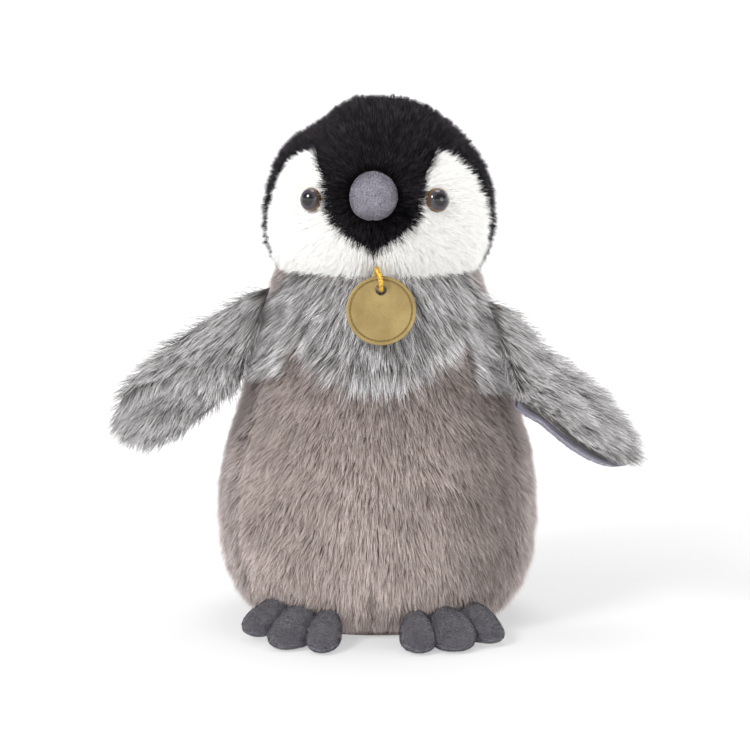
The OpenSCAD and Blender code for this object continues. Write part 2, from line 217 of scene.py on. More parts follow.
def ribbons(name, pts, wid, wdir, tone, mat, nor):
    """pts (n, s+1, 3) in mm from root to tip; wid (n, s) half widths; wdir (n, s, 3); one mesh of tapered ribbons."""
    n, s1, _ = pts.shape
    s = s1 - 1
    L = pts[:, :s] - wdir * wid[..., None]
    R = pts[:, :s] + wdir * wid[..., None]
    vper = 2 * s + 1
    V = np.empty((n, vper, 3))
    V[:, 0:2 * s:2] = L
    V[:, 1:2 * s:2] = R
    V[:, -1] = pts[:, -1]
    V[..., 2] = np.maximum(V[..., 2], 0.15)
    uv = np.empty((n, vper, 2))
    col = np.clip(np.round(tone * (COLS - 1)), 0, COLS - 1)
    uv[..., 0] = ((col + 0.5) / COLS)[:, None]
    uv[:, 0:2 * s:2, 0] = ((col + 0.15) / COLS)[:, None]
    uv[:, 1:2 * s:2, 0] = ((col + 0.85) / COLS)[:, None]
    vv = 0.02 + 0.96 * np.arange(s) / s
    uv[:, 0:2 * s:2, 1] = vv
    uv[:, 1:2 * s:2, 1] = vv
    uv[:, -1, 1] = 0.98
    loops_one = []
    for k in range(s - 1):
        a = 2 * k
        loops_one += [a, a + 1, a + 3, a, a + 3, a + 2]
    a = 2 * (s - 1)
    loops_one += [a, a + 1, a + 2]
    loops_one = np.array(loops_one)
    base = (np.arange(n) * vper)[:, None]
    loops = (base + loops_one[None]).ravel().astype(np.int32)
    nt = len(loops) // 3
    me = bpy.data.meshes.new(name)
    me.vertices.add(n * vper)
    me.vertices.foreach_set("co", (V * MM).astype(np.float32).ravel())
    me.loops.add(len(loops))
    me.loops.foreach_set("vertex_index", loops)
    me.polygons.add(nt)
    me.polygons.foreach_set("loop_start", np.arange(nt, dtype=np.int32) * 3)
    me.polygons.foreach_set("loop_total", np.full(nt, 3, np.int32))
    me.update(calc_edges=True)
    me.polygons.foreach_set("use_smooth", np.ones(nt, bool))
    layer = me.uv_layers.new(name="OFBake")
    layer.data.foreach_set("uv", uv.reshape(-1, 2)[loops].astype(np.float32).ravel())
    me.materials.append(mat)
    NV = np.empty((n, vper, 3))
    NV[:, 0:2 * s:2] = nor[:, :s]
    NV[:, 1:2 * s:2] = nor[:, :s]
    NV[:, -1] = nor[:, -1]
    at = me.attributes.new("custom_normal", "FLOAT_VECTOR", "POINT")
    at.data.foreach_set("vector", NV.astype(np.float32).ravel())
    me.update()
    return link(bpy.data.objects.new(name, me))


def cell_ids(P, size, seed):
    """Clump cells of about this size in mm, broken up so that no grid shows."""
    r = np.random.default_rng(seed)
    Q = P + 0.35 * size * np.stack([np.sin(P[:, 1] / size * 0.9 + 1.3 * np.sin(P[:, 2] / size * 0.7)),
                                    np.sin(P[:, 2] / size * 1.1 + P[:, 0] / size * 0.6),
                                    np.sin(P[:, 0] / size * 0.8 + P[:, 1] / size * 0.5)], 1)
    Q = Q + r.normal(0, 0.12 * size, P.shape)
    c = np.floor(Q / size).astype(np.int64)
    key = (c[:, 0] * 73856093) ^ (c[:, 1] * 19349663) ^ (c[:, 2] * 83492791)
    _, inv = np.unique(key, return_inverse=True)
    return inv.ravel()


def locks(u, v, across, along, seed):
    """Long narrow locks of hair: u runs across the lie of the pile and v along it, both in mm."""
    r = np.random.default_rng(seed)
    u = u / across + 0.35 * np.sin(v / along * 2.1 + u * 0.13) + r.normal(0, 0.12, len(u))
    cu = np.floor(u).astype(np.int64)
    cu -= cu.min()
    ph = r.uniform(0, 1, cu.max() + 1)
    cv = np.floor(v / along + ph[cu] + r.normal(0, 0.10, len(u))).astype(np.int64)
    cv -= cv.min()
    _, inv = np.unique(cu * 4096 + cv, return_inverse=True)
    return inv.ravel()


def wave(P, size, seed):
    """Smooth noise of about this wavelength in mm, roughly -1 to 1."""
    r = np.random.default_rng(seed)
    out = np.zeros(len(P))
    for _ in range(5):
        d = nrm(r.normal(size=3))
        out += np.sin(P @ d * (2 * math.pi / (size * r.uniform(0.7, 1.5))) + r.uniform(0, 6.28))
    return out / 2.6


def fur(name, P, N, C, length, width, lean, mat, segs=2, jitter=0.14, twist=0.45, clump=(1.7, 0.30, 0.09),
        big=(20.0, 0.16), tone0=0.5, tone_amp=0.14, seed=1, width_tip=0.5, soft=0.45, streak=None, lock=(0.17, 0.07)):
    """Grows pile: roots P, normals N, comb direction C, length in mm, lean (root angle, tip angle) in radians."""
    r = np.random.default_rng(seed)
    n = len(P)
    length = np.broadcast_to(length, (n,)).astype(float)
    lean0 = np.broadcast_to(lean[0], (n,)).astype(float)
    lean1 = np.broadcast_to(lean[1], (n,)).astype(float)
    T1 = unit(C - (C * N).sum(1)[:, None] * N)
    T2 = np.cross(N, T1)
    psi = r.normal(0, jitter, n)
    dl = r.normal(0, 0.10, n)
    tone = tone0 + r.normal(0, tone_amp, n)
    size, pull, sway = clump
    cid = cell_ids(P, size, seed + 11) if streak is None else locks(streak[0], streak[1], size, size * 6.5, seed + 11)
    k = cid.max() + 1
    psi = psi + r.normal(0, sway, k)[cid]
    dl = dl + r.normal(0, lock[1], k)[cid]
    tone = tone + r.normal(0, lock[0], k)[cid]
    length = length * (1 + r.normal(0, 0.06, k)[cid]) * (1 + r.normal(0, 0.12, n))
    psi = psi + big[1] * wave(P, big[0], seed + 5) + 0.7 * big[1] * wave(P, big[0] * 0.33, seed + 6)
    dl = dl + 0.10 * wave(P, big[0] * 0.5, seed + 7)
    tone = tone + 0.07 * wave(P, big[0] * 0.9, seed + 8) + 0.06 * wave(P, big[0] * 0.25, seed + 9)
    a0 = np.clip(lean0 + dl, 0.02, 1.5)
    a1 = np.clip(lean1 + dl, 0.05, 1.53)
    T = np.cos(psi)[:, None] * T1 + np.sin(psi)[:, None] * T2
    D0 = np.cos(a0)[:, None] * N + np.sin(a0)[:, None] * T
    D1 = np.cos(a1)[:, None] * N + np.sin(a1)[:, None] * T
    ts = np.linspace(0, 1, segs + 1)
    pts = P[:, None] + length[:, None, None] * (D0[:, None] * ts[None, :, None]
                                                + (D1 - D0)[:, None] * (0.5 * ts * ts)[None, :, None])
    off = pts[:, -1] - P
    cnt = np.bincount(cid, minlength=k).astype(float)
    mean = np.stack([np.bincount(cid, pts[:, -1, j], k) for j in range(3)], 1) / np.maximum(cnt, 1)[:, None]
    pullv = (mean[cid] - pts[:, -1]) * pull
    pullv -= (pullv * N).sum(1)[:, None] * N
    pullv -= (pullv * T).sum(1)[:, None] * T
    pts = pts + pullv[:, None] * (ts ** 1.6)[None, :, None]
    tan = np.diff(pts, axis=1)
    tan = unit(tan)
    w0 = unit(np.cross(tan, N[:, None]))
    w1 = np.cross(tan, w0)
    tw = r.normal(0, twist, n)
    wd = np.cos(tw)[:, None, None] * w0 + np.sin(tw)[:, None, None] * w1
    prof = np.linspace(1.0, width_tip, segs) if segs > 1 else np.ones(1)
    wid = 0.5 * width * (1 + r.normal(0, 0.15, n))[:, None] * prof[None]
    sn = unit(np.cross(wd, tan))
    sn = np.concatenate([sn, sn[:, -1:]], 1)
    sn = unit(soft * N[:, None] + (1 - soft) * sn)
    return ribbons(name, pts, wid, wd, np.clip(tone, 0, 1), mat, sn)


def scatter(surf, a, b, density, keep=None, seed=0):
    """Random points (a, b) spread evenly over a surface at this many per square mm, with their points and normals."""
    r = np.random.default_rng(seed)
    ga, gb = np.meshgrid(np.linspace(a[0], a[1], 60), np.linspace(b[0], b[1], 60))
    def jac(x, y):
        ea, eb = (a[1] - a[0]) * 1e-3, (b[1] - b[0]) * 1e-3
        pa = (surf(x + ea, y) - surf(x - ea, y)) / (2 * ea)
        pb = (surf(x, y + eb) - surf(x, y - eb)) / (2 * eb)
        return pa, pb
    pa, pb = jac(ga.ravel(), gb.ravel())
    jm = np.linalg.norm(np.cross(pa, pb), axis=1).max() * 1.05
    n = int(density * jm * (a[1] - a[0]) * (b[1] - b[0]))
    x = r.uniform(a[0], a[1], n)
    y = r.uniform(b[0], b[1], n)
    pa, pb = jac(x, y)
    c = np.cross(pa, pb)
    j = np.linalg.norm(c, axis=1)
    ok = r.uniform(0, jm, n) < j
    if keep is not None:
        ok &= keep(x, y)
    x, y, pa, pb, c = x[ok], y[ok], pa[ok], pb[ok], c[ok]
    return x, y, surf(x, y), unit(c), unit(pa), unit(pb)


def on_mesh(o, density, seed):
    """Random points spread evenly over a mesh at this many per square mm, with their face normals, in mm."""
    r = np.random.default_rng(seed)
    me = o.data
    me.calc_loop_triangles()
    co = np.zeros(len(me.vertices) * 3)
    me.vertices.foreach_get("co", co)
    co = co.reshape(-1, 3) / MM
    tr = np.zeros(len(me.loop_triangles) * 3, np.int32)
    me.loop_triangles.foreach_get("vertices", tr)
    tr = tr.reshape(-1, 3)
    a, b, c = co[tr[:, 0]], co[tr[:, 1]], co[tr[:, 2]]
    cr = np.cross(b - a, c - a)
    ar = np.linalg.norm(cr, axis=1) / 2
    n = int(ar.sum() * density)
    k = r.choice(len(tr), n, p=ar / ar.sum())
    u, v = r.uniform(size=n), r.uniform(size=n)
    f = u + v > 1
    u[f], v[f] = 1 - u[f], 1 - v[f]
    return a[k] + (b[k] - a[k]) * u[:, None] + (c[k] - a[k]) * v[:, None], unit(cr[k])


def skin(name, surf, A, B, mats, keep=None):
    """A quad grid over a surface; faces whose middle fails keep are left out."""
    A2, B2 = np.meshgrid(A, B)
    V = surf(A2.ravel(), B2.ravel())
    na, nb = len(A), len(B)
    F = []
    ca = (A2[:-1, :-1] + A2[1:, 1:]) / 2
    cb = (B2[:-1, :-1] + B2[1:, 1:]) / 2
    ok = keep(ca.ravel(), cb.ravel()).reshape(ca.shape) if keep is not None else np.ones(ca.shape, bool)
    for j in range(nb - 1):
        for i in range(na - 1):
            if ok[j, i]:
                F.append((j * na + i, j * na + i + 1, (j + 1) * na + i + 1, (j + 1) * na + i))
    F = np.array(F)
    used = np.unique(F)
    remap = np.full(len(V), -1)
    remap[used] = np.arange(len(used))
    return mesh_object(name, V[used] * MM, remap[F], mats)


# ------------------------------------------------------------------ body form
A_TAB = np.array([[0, 50], [3, 54], [6, 57.5], [12, 63], [19, 66.8], [30, 70.5], [45, 72.5], [61, 71.5], [77, 68.5],
                  [101, 62], [125, 55.5], [145, 49.5], [156, 46], [166, 42]])
B_TAB = np.array([[0, 38], [3, 41.5], [6, 44.5], [12, 49], [19, 53], [30, 57.5], [45, 60.5], [61, 60.5], [77, 59],
                  [101, 55], [125, 50.5], [145, 45.5], [156, 43], [166, 40]])
ZZ = np.linspace(0, 166, 333)


def eased(tabl):
    v = np.interp(ZZ, tabl[:, 0], tabl[:, 1])
    k = np.hanning(25)
    k /= k.sum()
    pad = np.concatenate([np.full(12, 0.0), v, np.full(12, 0.0)])
    pad[:12] = v[0] - (v[12:0:-1] - v[0])
    pad[-12:] = v[-1] - (v[-2:-14:-1] - v[-1])
    return np.convolve(pad, k, "valid")


A_S, B_S = eased(A_TAB), eased(B_TAB)
BIB_LOW, NECK_Z, SIDE_PHI, BIB_PHI = 115.0, 155.0, 62.0, 50.0
PILE, BIB_PILE = 5.2, 6.0


def bib_z(phi):
    return BIB_LOW + 36.5 * (phi / 53.0) ** 2


def lumps(x, y, z, amp):
    return amp * (np.sin(x / 13.0 + 0.7) * np.sin(z / 17.0 + 1.9) + 0.6 * np.sin(x / 7.3 + z / 9.1)
                  + 0.6 * np.sin(y / 11.0 - z / 12.0 + 0.4))


def body_off(phi, z):
    """How far the skin lies inside the pile's ends, with the seams' valleys and the stuffing's lumps."""
    x = 70 * np.sin(np.radians(phi))
    y = -58 * np.cos(np.radians(phi))
    d = lumps(x, y, z, 0.45)
    seam_d = (np.abs(np.abs(phi) - SIDE_PHI)) * 1.15
    d = d + 3.6 * np.exp(-(seam_d / 3.4) ** 2) * smooth(z, 2, 10) * (1 - 0.6 * smooth(z, 100, 125))
    d = d + 1.6 * np.exp(-((180 - np.abs(phi)) * 1.1 / 2.6) ** 2) * smooth(z, 2, 12)
    d = d + 2.6 * np.exp(-((phi + 2.2) / 1.9) ** 2) * smooth(z, 7, 12) * (1 - smooth(z, 18, 30)) * (np.abs(phi) < 30)
    return d


def body(off):
    def f(phi, z):
        a = np.interp(z, ZZ, A_S) - off - body_off(phi, z)
        b = np.interp(z, ZZ, B_S) - off - body_off(phi, z)
        p = np.radians(phi)
        return np.stack([a * np.sin(p), -b * np.cos(p), z + 0 * phi], 1)
    return f


# ------------------------------------------------------------------ head form
HEAD_A, HEAD_B, HEAD_Z, HEAD_UP, HEAD_DN = 51.5, 49.0, 178.0, 52.5, 46.0
TURN = math.radians(-2.5)
HEAD_PILE = 4.6
IN_TAB = np.array([[150, 0.0], [167, 0.6], [169.5, 4.5], [173.5, 11.6], [179.5, 20.3], [187, 23.8], [198.5, 27.2],
                   [208.5, 39.5], [212, 41], [231, 42]])
OUT_TAB = np.array([[150, 82], [159, 81], [170, 78.5], [180, 75.5], [188, 71.5], [196, 66.5], [203, 60], [209.5, 45],
                    [209.6, 40.4], [212, 41], [231, 42]])
BEAK_AT = np.array([0.0, -43.6, 191.0])


def turned(P):
    c, s = math.cos(TURN), math.sin(TURN)
    Q = np.array(P, float)
    x, y = Q[..., 0].copy(), Q[..., 1].copy()
    Q[..., 0] = c * x - s * y
    Q[..., 1] = s * x + c * y
    return Q


def eye_frame(s):
    """Centre, axis and in-plane axes of an eye, before the head's turn."""
    t = math.radians(12)
    phi = math.asin(27.3 / (HEAD_A * math.cos(t)))
    c = np.array([HEAD_A * math.cos(t) * math.sin(phi), -HEAD_B * math.cos(t) * math.cos(phi), HEAD_Z + HEAD_UP * math.sin(t)])
    n = np.array([c[0] / HEAD_A ** 2, c[1] / HEAD_B ** 2, (c[2] - HEAD_Z) / HEAD_UP ** 2])
    c[0] *= s
    n[0] *= s
    n = n / np.linalg.norm(n)
    n = 0.60 * n + 0.40 * np.array([0.0, -1.0, 0.03])
    n = n / np.linalg.norm(n)
    x = np.cross([0, 0, 1], n)
    x /= np.linalg.norm(x)
    return c, n, x, np.cross(n, x)


EYES = [eye_frame(-1), eye_frame(1)]


def head_off(phi, t):
    cp, sp = np.cos(np.radians(phi)), np.sin(np.radians(phi))
    ct, st = np.cos(np.radians(t)), np.sin(np.radians(t))
    x, y, z = 50 * ct * sp, -48 * ct * cp, HEAD_Z + 50 * st
    d = lumps(x, y, z, 0.45)
    inner = np.interp(z, IN_TAB[:, 0], IN_TAB[:, 1])
    outer = np.interp(z, OUT_TAB[:, 0], OUT_TAB[:, 1])
    for edge in (inner, outer):
        d = d + 0.9 * np.exp(-((np.abs(phi) - edge) * 0.8 / 2.2) ** 2) * (z < 211)
    for c, n, _, _ in EYES:
        q = np.sqrt((x - c[0]) ** 2 + (y - c[1]) ** 2 + (z - c[2]) ** 2)
        d = d + 1.8 * np.exp(-(q / 8.0) ** 2)
    # crest: two soft lobes at the top, with a dip between them
    d = d - 0.8 * np.exp(-(((x - 12) / 16) ** 2 + (y / 30) ** 2)) * smooth(z, 205, 225)
    d = d + 1.0 * np.exp(-((x - 1) / 7) ** 2) * smooth(z, 212, 228)
    d = d + 4.2 * smooth(z, 203, 224) * smooth(-x, 6, 30) + 1.6 * smooth(z, 205, 222) * smooth(x, 26, 40)
    d = d + 1.1 * smooth(-x, 34, 50)
    return d


def head(off):
    def f(phi, t):
        o = off + head_off(phi, t)
        rz = np.where(t < 0, HEAD_DN, HEAD_UP) - o
        p, q = np.radians(phi), np.radians(t)
        P = np.stack([(HEAD_A - o) * np.cos(q) * np.sin(p), -(HEAD_B - o) * np.cos(q) * np.cos(p),
                      HEAD_Z + rz * np.sin(q)], 1)
        return turned(P)
    return f


def head_zone(phi, t):
    """0 blaze, 1 left cheek, 2 right cheek, 3 left hood, 4 right hood."""
    z = HEAD_Z + np.where(t < 0, HEAD_DN, HEAD_UP) * np.sin(np.radians(t))
    ph = np.abs(phi)
    inner = np.interp(z, IN_TAB[:, 0], IN_TAB[:, 1])
    outer = np.interp(z, OUT_TAB[:, 0], OUT_TAB[:, 1]) + 2.5 * (phi > 0)
    cheek = (ph > inner) & (ph < outer) & (z < 208.5)
    blaze = (ph <= inner) & ~cheek
    return np.where(cheek, np.where(phi < 0, 1, 2), np.where(blaze, 0, np.where(phi < 0, 3, 4)))


# ------------------------------------------------------------------ flipper form
ROOT_HI = {-1: np.array([-44.8, -20.2, 151.0]), 1: np.array([44.8, -20.2, 147.0])}
ROOT_LO = {-1: np.array([-56.0, -23.4, 119.0]), 1: np.array([57.6, -23.4, 112.0])}
FLIP_TILT = {-1: math.radians(38.5), 1: math.radians(40.5)}
FLIP_ROLL = {-1: 8.0, 1: 44.0}
FLIP_LEN = {-1: 81.4, 1: 83.5}


def flip(s, dw, dh, dl=0.0, drop=0.0):
    """The flipper's surface, its half width less dw, half thickness less dh, length less dl."""
    hi, lo, tl = ROOT_HI[s], ROOT_LO[s], FLIP_TILT[s]
    m = (hi + lo) / 2
    dirv = nrm(np.array([s * math.cos(tl), -0.05, -math.sin(tl)]))
    up0 = nrm(hi - lo)
    up1 = np.array([s * math.sin(tl), 0, math.cos(tl)])

    def f(c, q):
        r = np.radians(FLIP_ROLL[s] * np.minimum(1, c * 2.2))
        k = np.minimum(1, c * 3)[:, None]
        upm = unit(up0 + (up1 - up0) * k)
        front = unit(-s * np.cross(upm, np.broadcast_to(dirv, upm.shape)))
        wv = np.cos(r)[:, None] * upm - np.sin(r)[:, None] * front
        nv = np.cos(r)[:, None] * front + np.sin(r)[:, None] * upm
        x = np.clip((c - 0.55) / 0.45, 0, 1)
        taper = smooth(c, 0.0, 0.25)
        w = (17.2 + 1.8 * np.minimum(1, c * 2.4)) * np.sqrt(np.maximum(0.0, 1 - x ** 2.4)) + 0.9 - dw * (0.35 + 0.65 * taper)
        w = np.maximum(w, 0.3)
        h = (1.9 + 5.6 * np.clip(c * 2.6, 0, 1) ** 0.8) * np.sqrt(np.maximum(0.03, 1 - x ** 2.2)) - dh * taper
        h = np.maximum(h, 0.3)
        base = m + dirv * (1.6 + (FLIP_LEN[s] - 1.6 - dl) * c)[:, None]
        qr = np.radians(q)
        return base + wv * (w * np.cos(qr) - drop * taper)[:, None] + nv * (h * np.sin(qr))[:, None]
    return f, dirv


# ------------------------------------------------------------------ materials
M = {}
M["taupe"] = pile_mat("taupe_pile_mat", srgb(106, 91, 85), srgb(160, 145, 139), srgb(224, 212, 207), spread=0.42, sheen=0.12, spec=0.2)
M["pale"] = pile_mat("pale_taupe_pile_mat", srgb(110, 96, 91), srgb(172, 158, 154), srgb(228, 218, 215), spread=0.38, sheen=0.12, spec=0.2)
M["frost"] = pile_mat("frosted_grey_pile_mat", srgb(38, 35, 31), srgb(126, 122, 119), srgb(244, 243, 245), spread=0.66, sheen=0.12, spec=0.2)
# the black pile's grey tips are a painted sheen, standing in for the highlights on the crown
M["black"] = pile_mat("black_pile_mat", srgb(1, 1, 1), srgb(5, 4, 5), srgb(62, 56, 64), rough=0.6, sheen=0.0, spread=0.92, spec=0.10, midpos=0.62)
M["white"] = pile_mat("white_pile_mat", srgb(240, 238, 232), srgb(246, 245, 242), srgb(251, 251, 249), rough=0.7, sheen=0.1, spread=0.03)
M["suede_nap"] = pile_mat("suede_nap_mat", srgb(80, 77, 85), srgb(112, 108, 118), srgb(158, 154, 165), rough=0.9, spread=0.35, sheen=0.15, spec=0.1)
M["felt_nap"] = pile_mat("felt_nap_mat", srgb(72, 68, 80), srgb(142, 138, 150), srgb(214, 210, 222), rough=0.95, spread=0.7, sheen=0.15, spec=0.1)
M["lining_nap"] = pile_mat("lining_nap_mat", srgb(118, 115, 128), srgb(140, 137, 151), srgb(166, 163, 178), rough=0.95, spread=0.2, sheen=0.15, spec=0.1)
M["taupe_skin"] = cloth_mat("taupe_backing_mat", srgb(92, 78, 73), srgb(126, 110, 104), 1400)
M["frost_skin"] = cloth_mat("grey_backing_mat", srgb(64, 60, 58), srgb(100, 96, 94), 1400)
M["black_skin"] = cloth_mat("black_backing_mat", srgb(2, 2, 3), srgb(9, 8, 9), 1400, sheen=0.0, spec=0.05)
M["white_skin"] = cloth_mat("white_backing_mat", srgb(244, 242, 237), srgb(252, 251, 248), 1400, sheen=0.1)
M["base"] = cloth_mat("base_velour_mat", srgb(82, 72, 68), srgb(112, 100, 95), 2200)
M["suede"] = cloth_mat("slate_suede_mat", srgb(54, 51, 56), srgb(98, 94, 101), 1500, rough=0.92, sheen=0.4, bumpd=0.0009, blotch=160)
M["suede_band"] = cloth_mat("slate_band_mat", srgb(74, 73, 84), srgb(122, 121, 134), 1500, rough=0.92, sheen=0.45, bumpd=0.0009, blotch=160)
M["lining"] = cloth_mat("lavender_suede_mat", srgb(128, 125, 138), srgb(168, 165, 180), 2000, rough=0.9, sheen=0.5, blotch=110)
M["felt"] = cloth_mat("grey_felt_mat", srgb(96, 92, 104), srgb(168, 164, 176), 3200, rough=0.95, sheen=0.2, bumpd=0.0005, blotch=1400)
M["fill"] = cloth_mat("fibre_fill_mat", srgb(214, 213, 208), srgb(240, 240, 236), 500, sheen=0.2, blotch=120, bumpd=0.001)
M["cotton"] = cloth_mat("pouch_cotton_mat", srgb(196, 190, 176), srgb(226, 221, 208), 1200)
M["pellet"] = cloth_mat("plastic_pellet_mat", srgb(190, 190, 186), srgb(224, 224, 220), 380, rough=0.4, sheen=0.0, bumpd=0.0012, blotch=200, spec=0.5)
M["washer"] = cloth_mat("washer_plastic_mat", srgb(214, 213, 206), srgb(232, 231, 226), 300, rough=0.35, sheen=0.0, bumpd=0.00003, spec=0.5)
M["seam"] = cloth_mat("seam_thread_mat", srgb(60, 57, 62), srgb(88, 85, 92), 2600)

# gold card: brushed grain over a warm sheen
g = new_mat("gold_card_mat", srgb(176, 152, 98), 0.5, 0.0, 0.4, 0.4, metallic=0.4)
gf = noise(g, 2600, 3, 0.6)
gb = noise(g, 90, 2, 0.5)
wire(g, ramp(g, add_math(g, add_math(g, gf, None, "MULTIPLY", 0.45), add_math(g, gb, None, "MULTIPLY", 0.55)),
             [(0.36, srgb(130, 110, 66)), (0.64, srgb(160, 140, 92))]), shader(g).inputs["Base Color"])
bump(g, gf, 0.00006)
M["gold"] = g
g = new_mat("gold_groove_mat", srgb(110, 92, 52), 0.55, 0.0, 0.4, 0.4, metallic=0.4)
gf = noise(g, 1800, 3, 0.6)
wire(g, ramp(g, gf, [(0.35, srgb(94, 78, 42)), (0.65, srgb(132, 112, 66))]), shader(g).inputs["Base Color"])
M["groove"] = g
g = new_mat("gold_thread_mat", srgb(206, 158, 40), 0.35, 0.3, 0.3, 0.5, metallic=0.35)
gf = noise(g, 1500, 3, 0.6)
wire(g, ramp(g, gf, [(0.32, srgb(160, 112, 18)), (0.66, srgb(236, 192, 74))]), shader(g).inputs["Base Color"])
bump(g, gf, 0.0001)
M["thread"] = g
# satin label: fine woven ribs
g = new_mat("satin_label_mat", srgb(240, 240, 236), 0.35, 0.2, 0.3, 0.5)
gf = noise(g, 900, 2, 0.5, stretch=(1, 1, 14))
wire(g, ramp(g, gf, [(0.3, srgb(226, 226, 221)), (0.7, srgb(246, 246, 243))]), shader(g).inputs["Base Color"])
bump(g, gf, 0.00005)
M["satin"] = g


def eye_mat():
    """UV runs from the middle (0) to the rim (1) along u: dark pupil, grey-brown iris, amber rim."""
    m = new_mat("eye_gloss_mat", srgb(20, 16, 15), 0.12, 0.0, 0.3, 0.35, coat=0.35, coat_rough=0.03)
    uv = m.node_tree.nodes.new("ShaderNodeUVMap")
    uv.uv_map = "OFBake"
    vm = m.node_tree.nodes.new("ShaderNodeVectorMath")
    vm.operation = "DISTANCE"
    vm.inputs[1].default_value = (0.5, 0.5, 0)
    wire(m, uv.outputs["UV"], vm.inputs[0])
    col = ramp(m, vm.outputs["Value"], [(0.0, srgb(5, 5, 6)), (0.23, srgb(8, 8, 9)), (0.27, srgb(50, 48, 53)), (0.41, srgb(66, 63, 69)),
                                        (0.445, srgb(112, 76, 42)), (0.5, srgb(84, 54, 30))])
    wire(m, col, shader(m).inputs["Base Color"])
    return m


M["eye"] = eye_mat()

# ------------------------------------------------------------------ hanging cord
ROUTE = np.array([[-0.8, -44.2, 156.0], [-0.8, -46.1, 157.2], [-0.8, -47.4, 159.2], [-0.7, -49.4, 160.8], [-0.4, -51.8, 161.2],
                  [0.1, -53.8, 160.2], [0.7, -54.8, 158.4], [1.1, -54.8, 156.2], [1.2, -53.9, 154.0], [1.2, -52.4, 152.7],
                  [1.2, -50.6, 152.2], [1.2, -48.8, 152.5], [1.2, -47.4, 153.7], [1.2, -46.6, 155.4], [1.15, -46.1, 157.0],
                  [1.1, -44.4, 157.4]])


def catmull(P, n):
    Q = np.vstack([2 * P[0] - P[1], P, 2 * P[-1] - P[-2]])
    out = []
    for i in range(1, len(Q) - 2):
        for t in np.linspace(0, 1, n, endpoint=False):
            a, b, c, d = Q[i - 1], Q[i], Q[i + 1], Q[i + 2]
            out.append(0.5 * (2 * b + (c - a) * t + (2 * a - 5 * b + 4 * c - d) * t * t + (3 * b - a - 3 * c + d) * t ** 3))
    out.append(P[-1])
    return np.array(out)


def tube(path, prof):
    """Sweeps prof(k) -> (m, 2) section points along the path with a turning-free frame. Returns vertices and faces, capped."""
    n = len(path)
    tan = unit(np.gradient(path, axis=0))
    nx = np.cross(tan[0], [1.0, 0.2, 0.1])
    nx /= np.linalg.norm(nx)
    V = []
    for k in range(n):
        nx = nx - tan[k] * (nx @ tan[k])
        nx /= np.linalg.norm(nx)
        ny = np.cross(tan[k], nx)
        pr = prof(k)
        V.append(path[k] + pr[:, :1] * nx + pr[:, 1:] * ny)
    m = len(V[0])
    V = np.vstack(V)
    F = [(k * m + i, k * m + (i + 1) % m, (k + 1) * m + (i + 1) % m, (k + 1) * m + i) for k in range(n - 1) for i in range(m)]
    F.append(tuple(range(m - 1, -1, -1)))
    F.append(tuple((n - 1) * m + i for i in range(m)))
    return V, F


cpath = catmull(ROUTE, 8)
clen = np.concatenate([[0], np.cumsum(np.linalg.norm(np.diff(cpath, axis=0), axis=1))])
TH = np.linspace(0, 2 * math.pi, 24, endpoint=False)


def twisted(k):
    r = 0.9 + 0.13 * np.cos(3 * (TH - clen[k] / 3.4 * 2 * math.pi / 1.0))
    return np.stack([r * np.cos(TH), r * np.sin(TH)], 1)


V, F = tube(cpath, twisted)
cord = mesh_object("tag_cord_twist", V * MM, F, [M["thread"]])
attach(cord, "tag")
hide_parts("tag_cord")

# ------------------------------------------------------------------ torso
BOT = 1.2


def in_bib(phi, z):
    return (np.abs(phi) < BIB_PHI) & (z > bib_z(phi))


def bib_edge(phi):
    """Lower edge of the grey pile, level again towards the flippers."""
    return np.minimum(bib_z(phi), 132.0)


def in_belly(phi, z):
    return z < bib_edge(phi) + 2


def in_back(phi, z):
    lo = np.where(phi < 0, 116, 110)
    return ~((np.abs(phi) < 73) & (z > lo + 2) & (z < 148))


def comb_body(x, y, P, N):
    side = np.sin(np.radians(x))
    out = np.stack([0.30 * side, 0.05 * np.ones_like(x), -np.ones_like(x)], 1)
    return out


